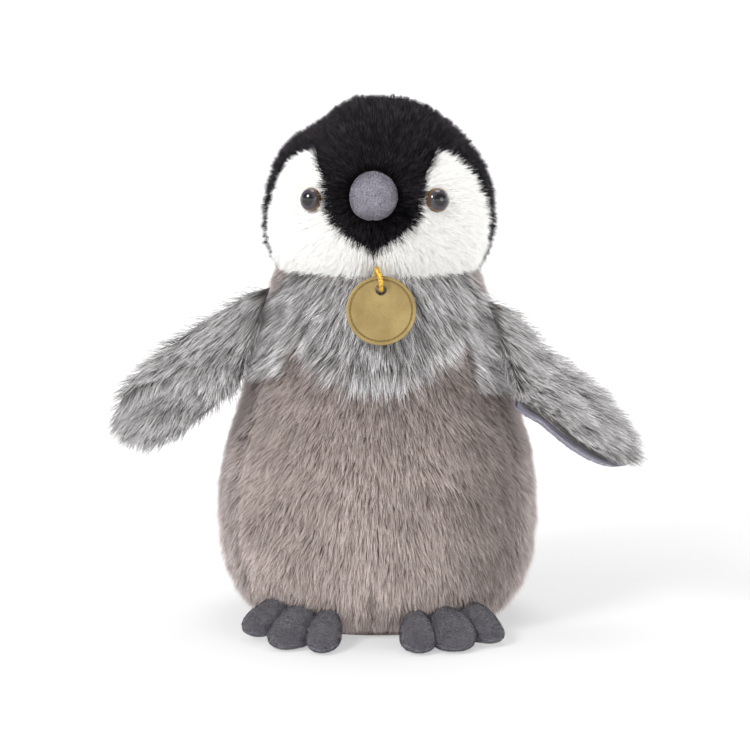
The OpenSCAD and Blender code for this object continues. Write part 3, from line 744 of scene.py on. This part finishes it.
def make_torso():
    phis = np.linspace(-180, 180, 193)
    zs = np.concatenate([np.linspace(BOT, 12, 10), np.linspace(14, 158, 73)])
    sk = body(PILE)
    parts = {
        "belly_backing": (lambda p, z: (np.abs(p) < SIDE_PHI) & ~in_bib(p, z), "taupe_skin", ["belly_panel"], "taupe_pile"),
        "bib_backing": (in_bib, "frost_skin", ["bib_panel"], "frosted_grey_pile"),
        "back_backing_left": (lambda p, z: p < -SIDE_PHI, "taupe_skin", ["back_panel_left"], "pale_taupe_pile"),
        "back_backing_right": (lambda p, z: p > SIDE_PHI, "taupe_skin", ["back_panel_right"], "pale_taupe_pile"),
    }
    for nm, (keep, mt, nodes, sl) in parts.items():
        o = skin(nm, sk, phis, zs, [M[mt]], keep)
        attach(o, "root")
        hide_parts(*nodes)
    dens = 4.3
    zones = {
        "belly_pile_left": ((-SIDE_PHI - 1, 0), in_belly, "taupe", "belly_panel", "taupe_pile"),
        "belly_pile_right": ((0, SIDE_PHI + 1), in_belly, "taupe", "belly_panel", "taupe_pile"),
        "back_pile_left": ((-180, -SIDE_PHI), in_back, "pale", "back_panel_left", "pale_taupe_pile"),
        "back_pile_right": ((SIDE_PHI, 180), in_back, "pale", "back_panel_right", "pale_taupe_pile"),
    }
    for k, (nm, (ar, keep, mt, nd, sl)) in enumerate(zones.items()):
        x, y, P, N, _, _ = scatter(sk, ar, (BOT + 0.5, 157), dens, keep, 100 + k)
        C = comb_body(x, y, P, N)
        ln = 6.6 * (1 - 0.35 * np.exp(-((180 - np.abs(x)) / 4) ** 2)) * (0.55 + 0.45 * smooth(y, 0, 12))
        ln = ln * (1 - 0.45 * np.exp(-((np.abs(x) - SIDE_PHI) / 2.6) ** 2) * (y < 125))
        cleft = np.exp(-((x + 2.2) / 2.4) ** 2) * smooth(y, 7, 12) * (1 - smooth(y, 18, 30)) * (np.abs(x) < 30)
        ln = ln * (1 - 0.45 * cleft)
        side = np.sin(np.radians(x))
        st = (np.radians(x) * 62 + 0.30 * side * y, y)
        t0 = 0.5 + 0.09 * wave(P, 34.0, 77)
        if mt == "taupe":    # painted shade: the belly is toned darker towards its right side, away from the key light, and a little on its left; partly also the nap lying the other way towards the right seam
            t0 = t0 - 0.44 * smooth(P[:, 0], 22, 50) * (y < 125) - 0.06 * smooth(-P[:, 0], 25, 50)
            # painted shade darkens the upper belly and painted light brightens its lowest part
            t0 = t0 - 0.30 * smooth(y, 78, 122) + 0.12 * (1 - smooth(y, 12, 48))
        else:
            t0 = t0 - 0.10
        o = fur(nm, P, N, C, ln, 0.25, (0.45, 1.16), M[mt], 2, seed=200 + k, clump=(0.85, 0.30, 0.05), streak=st, lock=(0.09, 0.04),
                tone0=t0, tone_amp=0.15)
        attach(o, "root")
        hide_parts(nd)
    # bib: longer frosted pile, fanned out from the neck, over the belly's upper edge
    skb = body(BIB_PILE)
    for k, (nm, ar) in enumerate((("bib_pile_left", (-SIDE_PHI, 0)), ("bib_pile_right", (0, SIDE_PHI)))):
        x, y, P, N, _, _ = scatter(skb, ar, (BIB_LOW - 1.5, 158), 4.0,
                                   lambda p, z: z > bib_edge(p) + RNG.normal(0, 1.3, len(p)), 301 + k)
        side = np.sin(np.radians(x))
        C = np.stack([0.95 * side, 0 * x, -np.ones_like(x)], 1)
        st = (52 * np.sin(np.radians(x)) / (1 + 0.019 * (157 - y)) * 1.25, y)
        # painted shade: the bib's left side, where the key light falls, is toned darker
        o = fur(nm, P, N, C, 12.0 + 3.0 * (y < bib_edge(x) + 7), 0.27, (0.5, 1.40), M["frost"], 3, jitter=0.13,
                tone0=0.48 - 0.36 * smooth(-P[:, 0], 8, 38),
                clump=(0.95, 0.36, 0.06), big=(14.0, 0.15), seed=312 + k, streak=st)
        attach(o, "root")
        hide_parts("bib_panel")
    # shoulders: frosted pile round each flipper's root, combed out along the flipper
    for k, sg in enumerate((-1, 1)):
        _, dirv = flip(sg, 4.2, 3.6, 5.0)
        lo = 110 if sg > 0 else 116
        x, y, P, N, _, _ = scatter(skb, tuple(sorted((sg * 44.0, sg * 75.0))), (lo, 153), 4.2,
                                   lambda p, z, lo=lo: (z > lo + RNG.normal(0, 1.5, len(p))) & (z < 160 - 0.16 * np.abs(p) + RNG.normal(0, 1.5, len(p))), 321 + k)
        C = np.tile(dirv, (len(x), 1)) + np.array([0, -0.35, 0.10]) * smooth(80 - np.abs(x), 0, 20)[:, None]
        C = unit(C)
        th = np.arccos(np.clip((C * N).sum(1), -1, 1))
        across = np.cross(dirv, [0, -1.0, 0])
        st = (P @ nrm(across), P @ dirv)
        o = fur("shoulder_pile_" + ("left" if sg < 0 else "right"), P, N, C, 10.0 + 5.0 * smooth(np.abs(x), 48, 62), 0.30, (0.75 * th, th + 0.15), M["frost"], 3, jitter=0.13,
                clump=(0.95, 0.45, 0.07), big=(14.0, 0.14), seed=331 + k, streak=st)
        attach(o, "root")
        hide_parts("back_panel_left" if sg < 0 else "back_panel_right")


make_torso()


def fill_piece(name, surf, A, B, body_name, cad):
    o = skin(name, surf, A, B, [M["fill"]])
    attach(o, body_name)
    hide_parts(cad)


fill_piece("body_fibre_fill", body(PILE + 2.2), np.linspace(-180, 180, 97), np.linspace(3, 156, 60), "root", "body_stuffing")


def make_base():
    """The flat bottom panel, drawn up a little in its middle, with a stitched edge."""
    n, rings = 96, 14
    V, F = [], []
    for j in range(rings + 1):
        r = j / rings
        for i in range(n):
            t = 2 * math.pi * i / n
            z = 1.15 + 0.9 * (1 - r ** 3) + 0.25 * math.sin(5 * t + 1) * r * (1 - r) + 1.1 * max(0, r - 0.93) / 0.07
            V.append((r * 50.5 * math.sin(t), -r * 38.6 * math.cos(t), z))
    for j in range(rings):
        for i in range(n):
            a, b = j * n + i, j * n + (i + 1) % n
            F.append((a, a + n, b + n, b) if j else (a, a + n, b + n))
    V = np.array(V)
    V2, F2 = [V[0]], []
    for j in range(1, rings + 1):
        V2 += list(V[j * n:(j + 1) * n])
    for i in range(n):
        F2.append((0, 1 + i, 1 + (i + 1) % n))
    for j in range(1, rings):
        for i in range(n):
            a, b = 1 + (j - 1) * n + i, 1 + (j - 1) * n + (i + 1) % n
            F2.append((a, a + n, b + n, b))
    o = mesh_object("base_velour_panel", np.array(V2) * MM, F2, [M["base"]])
    so = o.modifiers.new("thick", "SOLIDIFY")
    so.thickness = 0.0012
    so.offset = -1
    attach(o, "root")
    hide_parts("base_panel")


make_base()


# ------------------------------------------------------------------ head
def make_head():
    phis = np.linspace(-180, 180, 181)
    ts = np.linspace(-34, 89.5, 110)
    sk = head(HEAD_PILE)
    info = {
        0: ("face_blaze", "black_skin", "black", "face_blaze_panel", "black_pile"),
        1: ("cheek_left", "white_skin", "white", "cheek_panel_left", "white_pile"),
        2: ("cheek_right", "white_skin", "white", "cheek_panel_right", "white_pile"),
        3: ("hood_left", "black_skin", "black", "hood_panel_left", "black_pile"),
        4: ("hood_right", "black_skin", "black", "hood_panel_right", "black_pile"),
    }
    dirt = np.array([turned(c) for c, _, _, _ in EYES])
    beak = turned(BEAK_AT)
    for z, (nm, smt, fmt, nd, sl) in info.items():
        o = skin(nm + "_backing", sk, phis, ts, [M[smt]], lambda p, t, z=z: head_zone(p, t) == z)
        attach(o, "root")
        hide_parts(nd)
        white = z in (1, 2)

        def keep(p, t, z=z):
            P = sk(p, t)
            ok = head_zone(p + RNG.normal(0, 0.6, len(p)), t) == z
            for e in dirt:
                ok &= np.linalg.norm(P - e, axis=1) > 6.0
            ok &= ~((np.hypot(P[:, 0] - beak[0], P[:, 2] - beak[2]) < 8.4) & (P[:, 1] < 0))
            return ok
        x, t, P, N, _, _ = scatter(sk, (-180, 180), (-32, 89), 6.0 if white else 4.6, keep, 400 + z)
        away = P - (beak + np.array([0, -4, 0]))
        C = unit(away) + np.array([0, 0, -0.1]) + np.stack([0 * x, 0 * x, -0.8 * smooth(P[:, 1], -10, 40)], 1)
        for e in dirt:   # pile parts round the eyes
            d = P - e
            q = np.linalg.norm(d, axis=1)
            C = C + unit(d) * (0.9 * np.exp(-(q / 7.0) ** 2))[:, None]
        ln = np.full(len(x), 5.6 if white else 6.2)
        ln = ln + (1.2 * smooth(P[:, 2], 200, 225) if not white else 0.0)
        for e in dirt:
            q = np.linalg.norm(P - e, axis=1)
            ln = ln * (1 - 0.45 * np.exp(-((q - 5.5) / 3.0) ** 2))
        lean = (0.45, 1.22) if white else (0.35, 1.0)
        rel = P - beak
        st = (np.arctan2(rel[:, 0], rel[:, 2]) * 34, np.linalg.norm(rel, axis=1) * (1.0 if white else 2.6))
        o = fur(nm + "_pile", P, N, C, ln, 0.32, lean, M[fmt], 2, jitter=0.14 if white else 0.28,
                clump=(1.1, 0.10 if white else 0.3, 0.03 if white else 0.12), big=(12.0, 0.10 if white else 0.22), seed=500 + z,
                soft=0.85 if white else 0.35, streak=st, lock=(0.05, 0.02) if white else (0.24, 0.09))
        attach(o, "root")
        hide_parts(nd)


make_head()


fill_piece("head_fibre_fill", head(HEAD_PILE + 1.8), np.linspace(-180, 180, 97), np.linspace(-34, 89.5, 60), "root", "head_stuffing")


def lathe(prof, n):
    """prof (k, 2) radius and height, from the axis outwards; vertices in local coordinates."""
    V = [(0, 0, prof[0][1])]
    for r, h in prof[1:]:
        for i in range(n):
            a = 2 * math.pi * i / n
            V.append((r * math.cos(a), r * math.sin(a), h))
    F = [(0, 1 + i, 1 + (i + 1) % n) for i in range(n)]
    for j in range(len(prof) - 2):
        for i in range(n):
            a, b = 1 + j * n + i, 1 + j * n + (i + 1) % n
            F.append((a, a + n, b + n, b))
    return np.array(V), F


def make_eye(s, nm):
    c, n, ex, ey = EYES[0 if s < 0 else 1]
    prof = [(0, 2.1)]
    for k in range(1, 15):
        q = math.radians(90 * k / 15)
        prof.append((4.75 * math.sin(q), 2.1 - 3.3 * (1 - math.cos(q)) ** 0.95))
    prof += [(4.95, -1.25), (5.1, -1.5), (5.1, -1.9), (4.7, -3.6), (3.0, -4.2)]
    V, F = lathe(prof, 48)
    uv = 0.5 + V[:, :2] / 10.4
    V[:, 0] *= 0.92 if s < 0 else 1.0
    W = c - n * 0.5 + V[:, :1] * ex + V[:, 1:2] * ey + V[:, 2:3] * n
    o = mesh_object("eye_dome_" + nm, turned(W) * MM, F, [M["eye"]], uv=uv)
    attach(o, "root")
    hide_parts("eye_" + nm)


make_eye(-1, "left")
make_eye(1, "right")


def make_beak():
    r0, l0, nq, n = 9.9, 22.5, 26, 56
    V, F = [], []
    rr = np.random.default_rng(5)
    for j in range(nq + 1):
        q = math.radians(90 * j / nq)
        r, h = r0 * math.cos(q) ** 0.62, l0 * math.sin(q) ** 1.15
        if j == nq:
            V.append((0, 0, h))
            break
        for i in range(n):
            a = 2 * math.pi * i / n
            k = 1 - 0.05 * math.exp(-((a - math.pi / 2) / 0.10) ** 2) + 0.004 * rr.normal()   # pinch of the seam
            k *= 1 + 0.035 * math.sin(a) + 0.012 * math.sin(3 * a + 0.8)
            flat = 1 - 0.025 * math.cos(2 * a)
            V.append((r * k * flat * math.cos(a), r * k * math.sin(a), h))
    for j in range(nq - 1):
        for i in range(n):
            a, b = j * n + i, j * n + (i + 1) % n
            F.append((a, b, b + n, a + n))
    top = len(V) - 1
    for i in range(n):
        F.append(((nq - 1) * n + i, (nq - 1) * n + (i + 1) % n, top))
    V = np.array(V)
    W = np.stack([BEAK_AT[0] + V[:, 0], BEAK_AT[1] + 1.5 - V[:, 2] * 1.02, BEAK_AT[2] - V[:, 1]], 1)
    o = mesh_object("beak_felt", turned(W) * MM, [tuple(reversed(f)) for f in F], [M["felt"]])
    sub = o.modifiers.new("sub", "SUBSURF")
    sub.levels = sub.render_levels = 1
    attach(o, "root")
    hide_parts("beak_cover")
    P, N = on_mesh(o, 7.0, 60)
    C = np.tile([0.1, -1.0, -0.3], (len(P), 1))
    z = fur("beak_nap", P, N, C, 0.7, 0.24, (0.5, 1.1), M["felt_nap"], 1, jitter=1.2, twist=0.6, clump=(1.0, 0.3, 0.3),
            seed=960, tone_amp=0.24, lock=(0.12, 0.1))
    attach(z, "root")
    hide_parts("beak_cover")


make_beak()


# ------------------------------------------------------------------ flippers
def make_flipper(s, nm):
    body_name = "flipper_" + nm
    surf, dirv = flip(s, 5.0 if s < 0 else 6.5, 3.6, 5.0, 0.0 if s < 0 else 5.5)
    cs = np.concatenate([np.linspace(0.0, 0.6, 26), 0.6 + 0.4 * np.sin(np.linspace(0, math.pi / 2, 22))[1:]])

    def oriented(c, q):
        return surf(c, q * s)
    # fur side q 0..166 and lining side 166..360, both as grids over the padded form
    furq = np.linspace(0, 166, 34)
    linq = np.linspace(166, 360, 34)
    up = skin(body_name + "_backing", lambda c, q: surf(c, q), cs, furq, [M["frost_skin"]])
    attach(up, body_name)
    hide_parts(body_name + "_fur")
    sl, _ = flip(s, 4.0 if s < 0 else 4.6, 2.6, 4.0, 0.0 if s < 0 else 6.4)
    lo = skin(body_name + "_suede", lambda c, q: sl(c, q), cs, linq, [M["lining"]])
    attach(lo, body_name)
    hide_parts(body_name + "_lining")
    Pn, Nn = on_mesh(lo, 5.0, 62 + (s > 0))
    mid0 = (ROOT_HI[s] + ROOT_LO[s]) / 2
    rel = Pn - mid0 - dirv * np.clip((Pn - mid0) @ dirv, 2, 66)[:, None]
    Nn[(rel * Nn).sum(1) < 0] *= -1
    z = fur(body_name + "_suede_nap", Pn, Nn, np.tile(dirv, (len(Pn), 1)), 0.7, 0.28, (0.5, 1.1), M["lining_nap"], 1, jitter=0.7, twist=0.6,
            clump=(1.2, 0.3, 0.3), seed=970 + (s > 0), lock=(0.10, 0.1))
    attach(z, body_name)
    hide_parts(body_name + "_lining")
    fl, _ = flip(s, 6.6 if s < 0 else 8.0, 4.8, 7.0, 0.0 if s < 0 else 5.9)
    fill_piece(body_name + "_fibre_fill", lambda c, q: fl(c, q), np.linspace(0.03, 0.97, 24), np.linspace(0, 360, 41), body_name,
               body_name + "_stuffing")
    c, q, P, N, tc, tq = scatter(surf, (0.0, 0.995), (0, 168 if s < 0 else 150), 5.0, None, 600 + (s > 0))
    # outward normals: away from the flipper's own middle
    mid = (ROOT_HI[s] + ROOT_LO[s]) / 2 + dirv * (1.6 + (FLIP_LEN[s] - 6.6) * np.minimum(c, 0.93))[:, None]
    flipn = ((P - mid) * N).sum(1) < 0
    N[flipn] *= -1
    # comb: towards the tip, and down over the lower edge, up only at the very top edge
    low = smooth(q, 60, 165)
    if s < 0:
        C = dirv[None] * (1.0 - 0.25 * low)[:, None] + tq * np.where(q > 90, 1, 0.4)[:, None] * (0.12 + 0.50 * low)[:, None]
        C = C + np.array([0, 0, -0.15])
        ln = 12.0 * (1 - 0.35 * low * (1 - 0.6 * smooth(c, 0.3, 0.8)))
    else:
        C = dirv[None] + tq * (0.10 * low)[:, None] + np.array([0, 0, -0.05])
        ln = 12.0 * (1 - 0.60 * smooth(q, 110, 160))
    st = (np.radians(q) * 15.0 - (0.5 * c * FLIP_LEN[s] * low if s < 0 else 0), c * FLIP_LEN[s])
    # painted shade: the left flipper, lit by the key light, is toned darker than the right one
    o = fur(body_name + "_pile", P, N, C, ln, 0.27, (0.5, 1.30), M["frost"], 3, jitter=0.13, tone0=0.36 if s < 0 else 0.45, clump=(0.95, 0.30, 0.05), big=(14.0, 0.12), lock=(0.13, 0.055),
            seed=610 + (s > 0), streak=st)
    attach(o, body_name)
    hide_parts(body_name + "_fur")


make_flipper(-1, "left")
make_flipper(1, "right")

# ------------------------------------------------------------------ feet
TOES = {
    "left": [[-22.6, -53.2, 8, 7.0, 15.2], [-36.0, -48.6, 22, 9.5, 15.0], [-46.8, -38.2, 44, 8.4, 13.8]],
    "right": [[16.6, -54.2, -6, 7.4, 14.6], [31.0, -51.6, -12, 9.7, 15.0], [43.6, -43.2, -30, 7.6, 14.2]],
}
TOE_PROF = [(0.0, 0.25), (0.40, 0.25), (0.66, 0.45), (0.81, 1.2), (0.91, 2.3), (0.965, 3.6), (0.975, 4.4), (0.957, 4.8), (0.957, 5.1),
            (0.99, 5.7), (0.995, 6.8), (0.965, 8.2), (0.90, 9.7), (0.79, 11.2), (0.64, 12.4), (0.45, 13.3), (0.23, 13.8), (0.0, 14.0)]


LIFT = {"left": (0.0, 0.0, 2.2), "right": (0.0, 0.0, 0.8)}


def make_foot(side, shrink=1.0):
    V, F, FM = [], [], []
    n = 48
    for ti, (tx, ty, hd, hw, hl) in enumerate(TOES[side]):
        rr = np.random.default_rng(900 + ti + (side == "right") * 10)
        ph = rr.uniform(0, 6, 4)
        base = len(V)
        h = math.radians(hd)
        hw, hl = hw * shrink, hl * shrink
        zs = 1.0 + (0.04 if ti == 1 else 0)
        for j, (r, z) in enumerate(TOE_PROF):
            for i in range(n if 0 < j < len(TOE_PROF) - 1 else 1):
                a = 2 * math.pi * i / n
                x0 = r * math.sin(a)
                y0 = r * math.cos(a)
                # a toe is a blunt oval, widest towards its front
                ex = abs(x0) ** 1.0
                wide = 1.0 - 0.10 * y0
                x, y = hw * x0 * wide, hl * y0
                k = 1 + 0.012 * math.sin(3 * a + ph[0]) + 0.010 * math.sin(5 * a + ph[1])
                zz = z * zs * (0.94 + 0.33 * y0 * min(1, z / 6.0)) + (0.20 * math.sin(2 * a + ph[2]) if j > 4 else 0)
                zz = 1.2 + (zz - 1.2) * shrink - (1 - shrink) * 3 + LIFT[side][ti] if shrink < 1 else zz + LIFT[side][ti]
                if j > 8:
                    zz += 0.25 * math.sin(3 * a + ph[3]) * r
                V.append((tx + x * k * math.cos(h) + y * k * math.sin(h), ty - x * k * math.sin(h) + y * k * math.cos(h), max(zz, 0.15)))
        m = len(TOE_PROF)
        def idx(j, i):
            if j == 0:
                return base
            if j == m - 1:
                return base + 1 + (m - 2) * n
            return base + 1 + (j - 1) * n + i % n
        for i in range(n):
            F.append((idx(0, 0), idx(1, i), idx(1, i + 1)))
            FM.append(1)
            for j in range(1, m - 2):
                F.append((idx(j, i), idx(j + 1, i), idx(j + 1, i + 1), idx(j, i + 1)))
                FM.append(1 if j < 7 else (2 if j == 7 else 0))
            F.append((idx(m - 2, i), idx(m - 1, 0), idx(m - 2, i + 1)))
            FM.append(0)
    if shrink < 1:
        o = mesh_object("foot_%s_fibre_fill" % side, np.array(V) * MM, F, [M["fill"]])
        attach(o, "root")
        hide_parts("foot_%s_stuffing" % side)
        return
    o = mesh_object("foot_%s_suede" % side, np.array(V) * MM, F, [M["suede"], M["suede_band"], M["seam"]], FM)
    sub = o.modifiers.new("sub", "SUBSURF")
    sub.levels = sub.render_levels = 1
    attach(o, "root")
    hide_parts("foot_%s_top" % side, "foot_%s_sole" % side)
    P, N = on_mesh(o, 5.5, 40 + (side == "right"))
    C = np.tile([0.0, -0.6, -0.5], (len(P), 1))
    # painted light and shade: the left foot's nap is toned lighter and the right foot's darker, where the body shades
    # it
    z = fur("foot_%s_nap" % side, P, N, C, 0.75, 0.30, (0.5, 1.0), M["suede_nap"], 1, jitter=0.8, twist=0.6,
            clump=(1.2, 0.3, 0.3), seed=950 + (side == "right"), tone_amp=0.22, tone0=0.62 if side == "left" else 0.36, lock=(0.12, 0.1))
    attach(z, "root")
    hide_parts("foot_%s_top" % side)


for sd in ("left", "right"):
    make_foot(sd)
    make_foot(sd, 0.84)


# ------------------------------------------------------------------ tail
def make_tail():
    def surf_at(d):
        def f(v, q):
            vv = np.sin(np.radians(v * 90))
            x = np.clip((vv - 0.35) / 0.65, 0, 1)
            k = np.sqrt(np.maximum(0.012, 1 - x * x))
            qr = np.radians(q)
            return np.stack([(15.5 - d) * k * np.cos(qr), 46.0 + (67.5 - d * 0.8 - 46.0) * vv, 21 - 3 * vv + (7.6 - d) * k * np.sin(qr)], 1)
        return f
    sk = surf_at(3.0)
    fill_piece("tail_fibre_fill", surf_at(4.4), np.linspace(0, 1, 10), np.linspace(0, 360, 33), "root", "tail_stuffing")
    o = skin("tail_backing", sk, np.linspace(0, 1, 16), np.linspace(0, 360, 41), [M["taupe_skin"]])
    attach(o, "root")
    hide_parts("tail_cover")
    v, q, P, N, tv, _ = scatter(sk, (0.0, 0.999), (0, 360), 3.0, None, 700)
    mid = np.stack([0 * v, P[:, 1] - 2, 21 - 3 * v], 1)
    bad = ((P - mid) * N).sum(1) < 0
    N[bad] *= -1
    C = np.tile([0.0, 1.0, -0.5], (len(v), 1))
    o = fur("tail_pile", P, N, C, 6.0, 0.45, (0.5, 1.1), M["pale"], 2, seed=701)
    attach(o, "root")
    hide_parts("tail_cover")


make_tail()


# ------------------------------------------------------------------ hang tag
TAG_C = np.array([1.2, -53.6, 144.0])
LEAN = math.radians(14.5)


def make_tag():
    """A die-cut gold card: rolled edge, punched hole and a debossed ring on its face."""
    R, T, n = 14.5, 1.2, 96
    hole_r, hole_up = 2.2, 8.6
    rings = [2.2, 2.36, 3.2]
    V, F, FM = [], [], []
    # the face: rays from the hole's rim to the disc's edge, through the debossed ring
    outs = [(12.45, 0.0), (12.6, -0.14), (13.1, -0.14), (13.25, 0.0), (14.1, 0.0), (14.42, -0.10), (14.5, -0.32)]
    rows = []
    for face in (0, 1):
        zf = 1 if face == 0 else -1
        prev = None
        def ring(fn):
            row = []
            for i in range(n):
                x, y, z = fn(2 * math.pi * i / n)
                V.append((x, y, z))
                row.append(len(V) - 1)
            return row
        rr = []
        rr.append((ring(lambda a: (hole_r * math.cos(a), hole_up + hole_r * math.sin(a), zf * (T / 2 - 0.2))), 0))
        rr.append((ring(lambda a: ((hole_r + 0.2) * math.cos(a), hole_up + (hole_r + 0.2) * math.sin(a), zf * T / 2)), 0))
        for k in range(1, 7):
            u = k / 7
            rr.append((ring(lambda a, u=u: ((1 - u) * (hole_r + 0.2) * math.cos(a) + u * 12.45 * math.cos(a),
                                            (1 - u) * (hole_up + (hole_r + 0.2) * math.sin(a)) + u * 12.45 * math.sin(a), zf * T / 2)), 0))
        for r, dz in outs:
            d = dz if (face == 0 or r > 14) else 0
            rr.append((ring(lambda a, r=r, d=d: (r * math.cos(a), r * math.sin(a), zf * (T / 2 + d))), 1 if (face == 0 and r in (12.6, 13.1)) else 0))
        for k in range(len(rr) - 1):
            A, B = rr[k][0], rr[k + 1][0]
            groove = 1 if (face == 0 and rr[k][1] + rr[k + 1][1] >= 1) else 0
            for i in range(n):
                q = (A[i], B[i], B[(i + 1) % n], A[(i + 1) % n])
                F.append(q if face == 0 else tuple(reversed(q)))
                FM.append(groove)
        rows.append(rr)
    for A, B in ((rows[0][-1][0], rows[1][-1][0]),):
        for i in range(n):
            F.append((A[i], B[i], B[(i + 1) % n], A[(i + 1) % n]))
            FM.append(0)
    A, B = rows[1][0][0], rows[0][0][0]
    for i in range(n):
        F.append((A[i], B[i], B[(i + 1) % n], A[(i + 1) % n]))
        FM.append(0)
    V = np.array(V)
    cl, sl = math.cos(LEAN), math.sin(LEAN)
    # local x -> X, local y -> up (leaning back at the top), local z -> out of the face, towards -Y
    W = TAG_C + V[:, :1] * np.array([1, 0, 0]) + V[:, 1:2] * np.array([0, sl, cl]) + V[:, 2:3] * np.array([0, -cl, sl])
    o = mesh_object("tag_card", W * MM, F, [M["gold"], M["groove"]], FM)
    me = o.data
    me.polygons.foreach_set("use_smooth", np.zeros(len(me.polygons), bool))
    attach(o, "tag")
    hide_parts("tag_disc")
    return o


tag = make_tag()


# ------------------------------------------------------------------ care label
def make_label():
    """A folded satin label at the lower back, curving away from the seam."""
    n, m = 14, 18
    V, F = [], []
    for j in range(m + 1):
        for i in range(n + 1):
            u, v = i / n, j / m
            x = -20 * u
            z = 15 - 30 * v
            y = -6.5 + 6.5 * math.sin(min(1, v * 1.5) * 1.3) - 1.5 * v + 0.6 * math.sin(u * 2.2) * v
            V.append((x, y, z))
    for j in range(m):
        for i in range(n):
            a = j * (n + 1) + i
            F.append((a, a + 1, a + n + 2, a + n + 1))
    V = np.array(V)
    a = math.radians(8)
    W = np.stack([-1 + V[:, 0] * math.cos(a) - V[:, 1] * math.sin(a), 61.3 + V[:, 0] * math.sin(a) + V[:, 1] * math.cos(a), 30 + V[:, 2]], 1)
    o = mesh_object("care_label_satin", W * MM, F, [M["satin"]])
    so = o.modifiers.new("thick", "SOLIDIFY")
    so.thickness = 0.0003
    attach(o, "root")
    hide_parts("care_label")


make_label()

# ------------------------------------------------------------------ inside pieces keep their CAD shapes
INSIDE = {"beak_stuffing": "fill",
          "pellet_pouch": "cotton", "pellet_fill": "pellet", "eye_washer_left": "washer", "eye_washer_right": "washer"}
for nname, mname in INSIDE.items():
    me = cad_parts[nname].data
    me.materials.clear()
    me.materials.append(M[mname])


# ------------------------------------------------------------------ floor, backdrop and light
def stage_set():
    fm = new_mat("floor_mat", (0.40, 0.40, 0.40, 1), 0.9, 0, 0.4, 0.1)
    shader(fm).inputs["Emission Color"].default_value = (1, 1, 1, 1)
    # the floor's glow is weaker close to the penguin and centred to its right: a painted shadow round and right of it,
    # with painted light on its left
    tc = fm.node_tree.nodes.new("ShaderNodeTexCoord")
    vl = fm.node_tree.nodes.new("ShaderNodeVectorMath")
    vl.operation = "LENGTH"
    sh = fm.node_tree.nodes.new("ShaderNodeVectorMath")
    sh.operation = "ADD"
    sh.inputs[1].default_value = (-0.09, 0.03, 0.0)
    wire(fm, tc.outputs["Object"], sh.inputs[0])
    wire(fm, sh.outputs["Vector"], vl.inputs[0])
    er = node(fm, "ShaderNodeMapRange")
    er.inputs["From Min"].default_value = 0.10
    er.inputs["From Max"].default_value = 0.55
    er.inputs["To Min"].default_value = 0.47
    er.inputs["To Max"].default_value = 0.80
    wire(fm, vl.outputs["Value"], er.inputs["Value"])
    wire(fm, er.outputs["Result"], shader(fm).inputs["Emission Strength"])
    n = 96
    V = [(0, 0, 0)] + [(4.6 * math.cos(2 * math.pi * i / n), 4.6 * math.sin(2 * math.pi * i / n), 0) for i in range(n)]
    F = [(0, 1 + i, 1 + (i + 1) % n) for i in range(n)]
    fl = mesh_object("floor", V, F, [fm], smooth_faces=False)
    bm = new_mat("backdrop_mat", (0.9, 0.9, 0.9, 1), 1.0, 0, 0.4, 0.0)
    shader(bm).inputs["Emission Color"].default_value = (1, 1, 1, 1)
    shader(bm).inputs["Emission Strength"].default_value = 0.9
    V = []
    for z in (-0.05, 1.45):
        V += [(4.5 * math.cos(2 * math.pi * i / n), 4.5 * math.sin(2 * math.pi * i / n), z) for i in range(n)]
    F = [(i, n + i, n + (i + 1) % n, (i + 1) % n) for i in range(n)]
    bd = mesh_object("backdrop", V, F, [bm])
    w = scene.world or bpy.data.worlds.new("world")
    scene.world = w
    w.use_nodes = True
    bg = w.node_tree.nodes.get("Background") or w.node_tree.nodes.new("ShaderNodeBackground")
    bg.inputs["Color"].default_value = (1, 1, 1, 1)
    bg.inputs["Strength"].default_value = 0.52

    def area(name, loc, target, size, power, col=(1, 1, 1)):
        d = bpy.data.lights.new(name, "AREA")
        d.shape = "DISK"
        d.size = size
        d.energy = power
        d.color = col
        o = link(bpy.data.objects.new(name, d))
        o.location = loc
        v = np.array(target) - np.array(loc)
        from mathutils import Vector
        o.rotation_euler = Vector(v).to_track_quat("-Z", "Y").to_euler()
    area("key", (-1.0, -1.05, 1.15), (0, 0, 0.11), 0.55, 21.0)
    area("top", (0.15, 0.1, 1.6), (0, 0, 0.12), 0.8, 8.0)
    area("fill", (1.1, -1.1, 0.5), (0, 0, 0.14), 0.8, 5.0)
    area("rim", (1.2, 0.7, 0.7), (0, 0, 0.12), 0.8, 3.0)


stage_set()
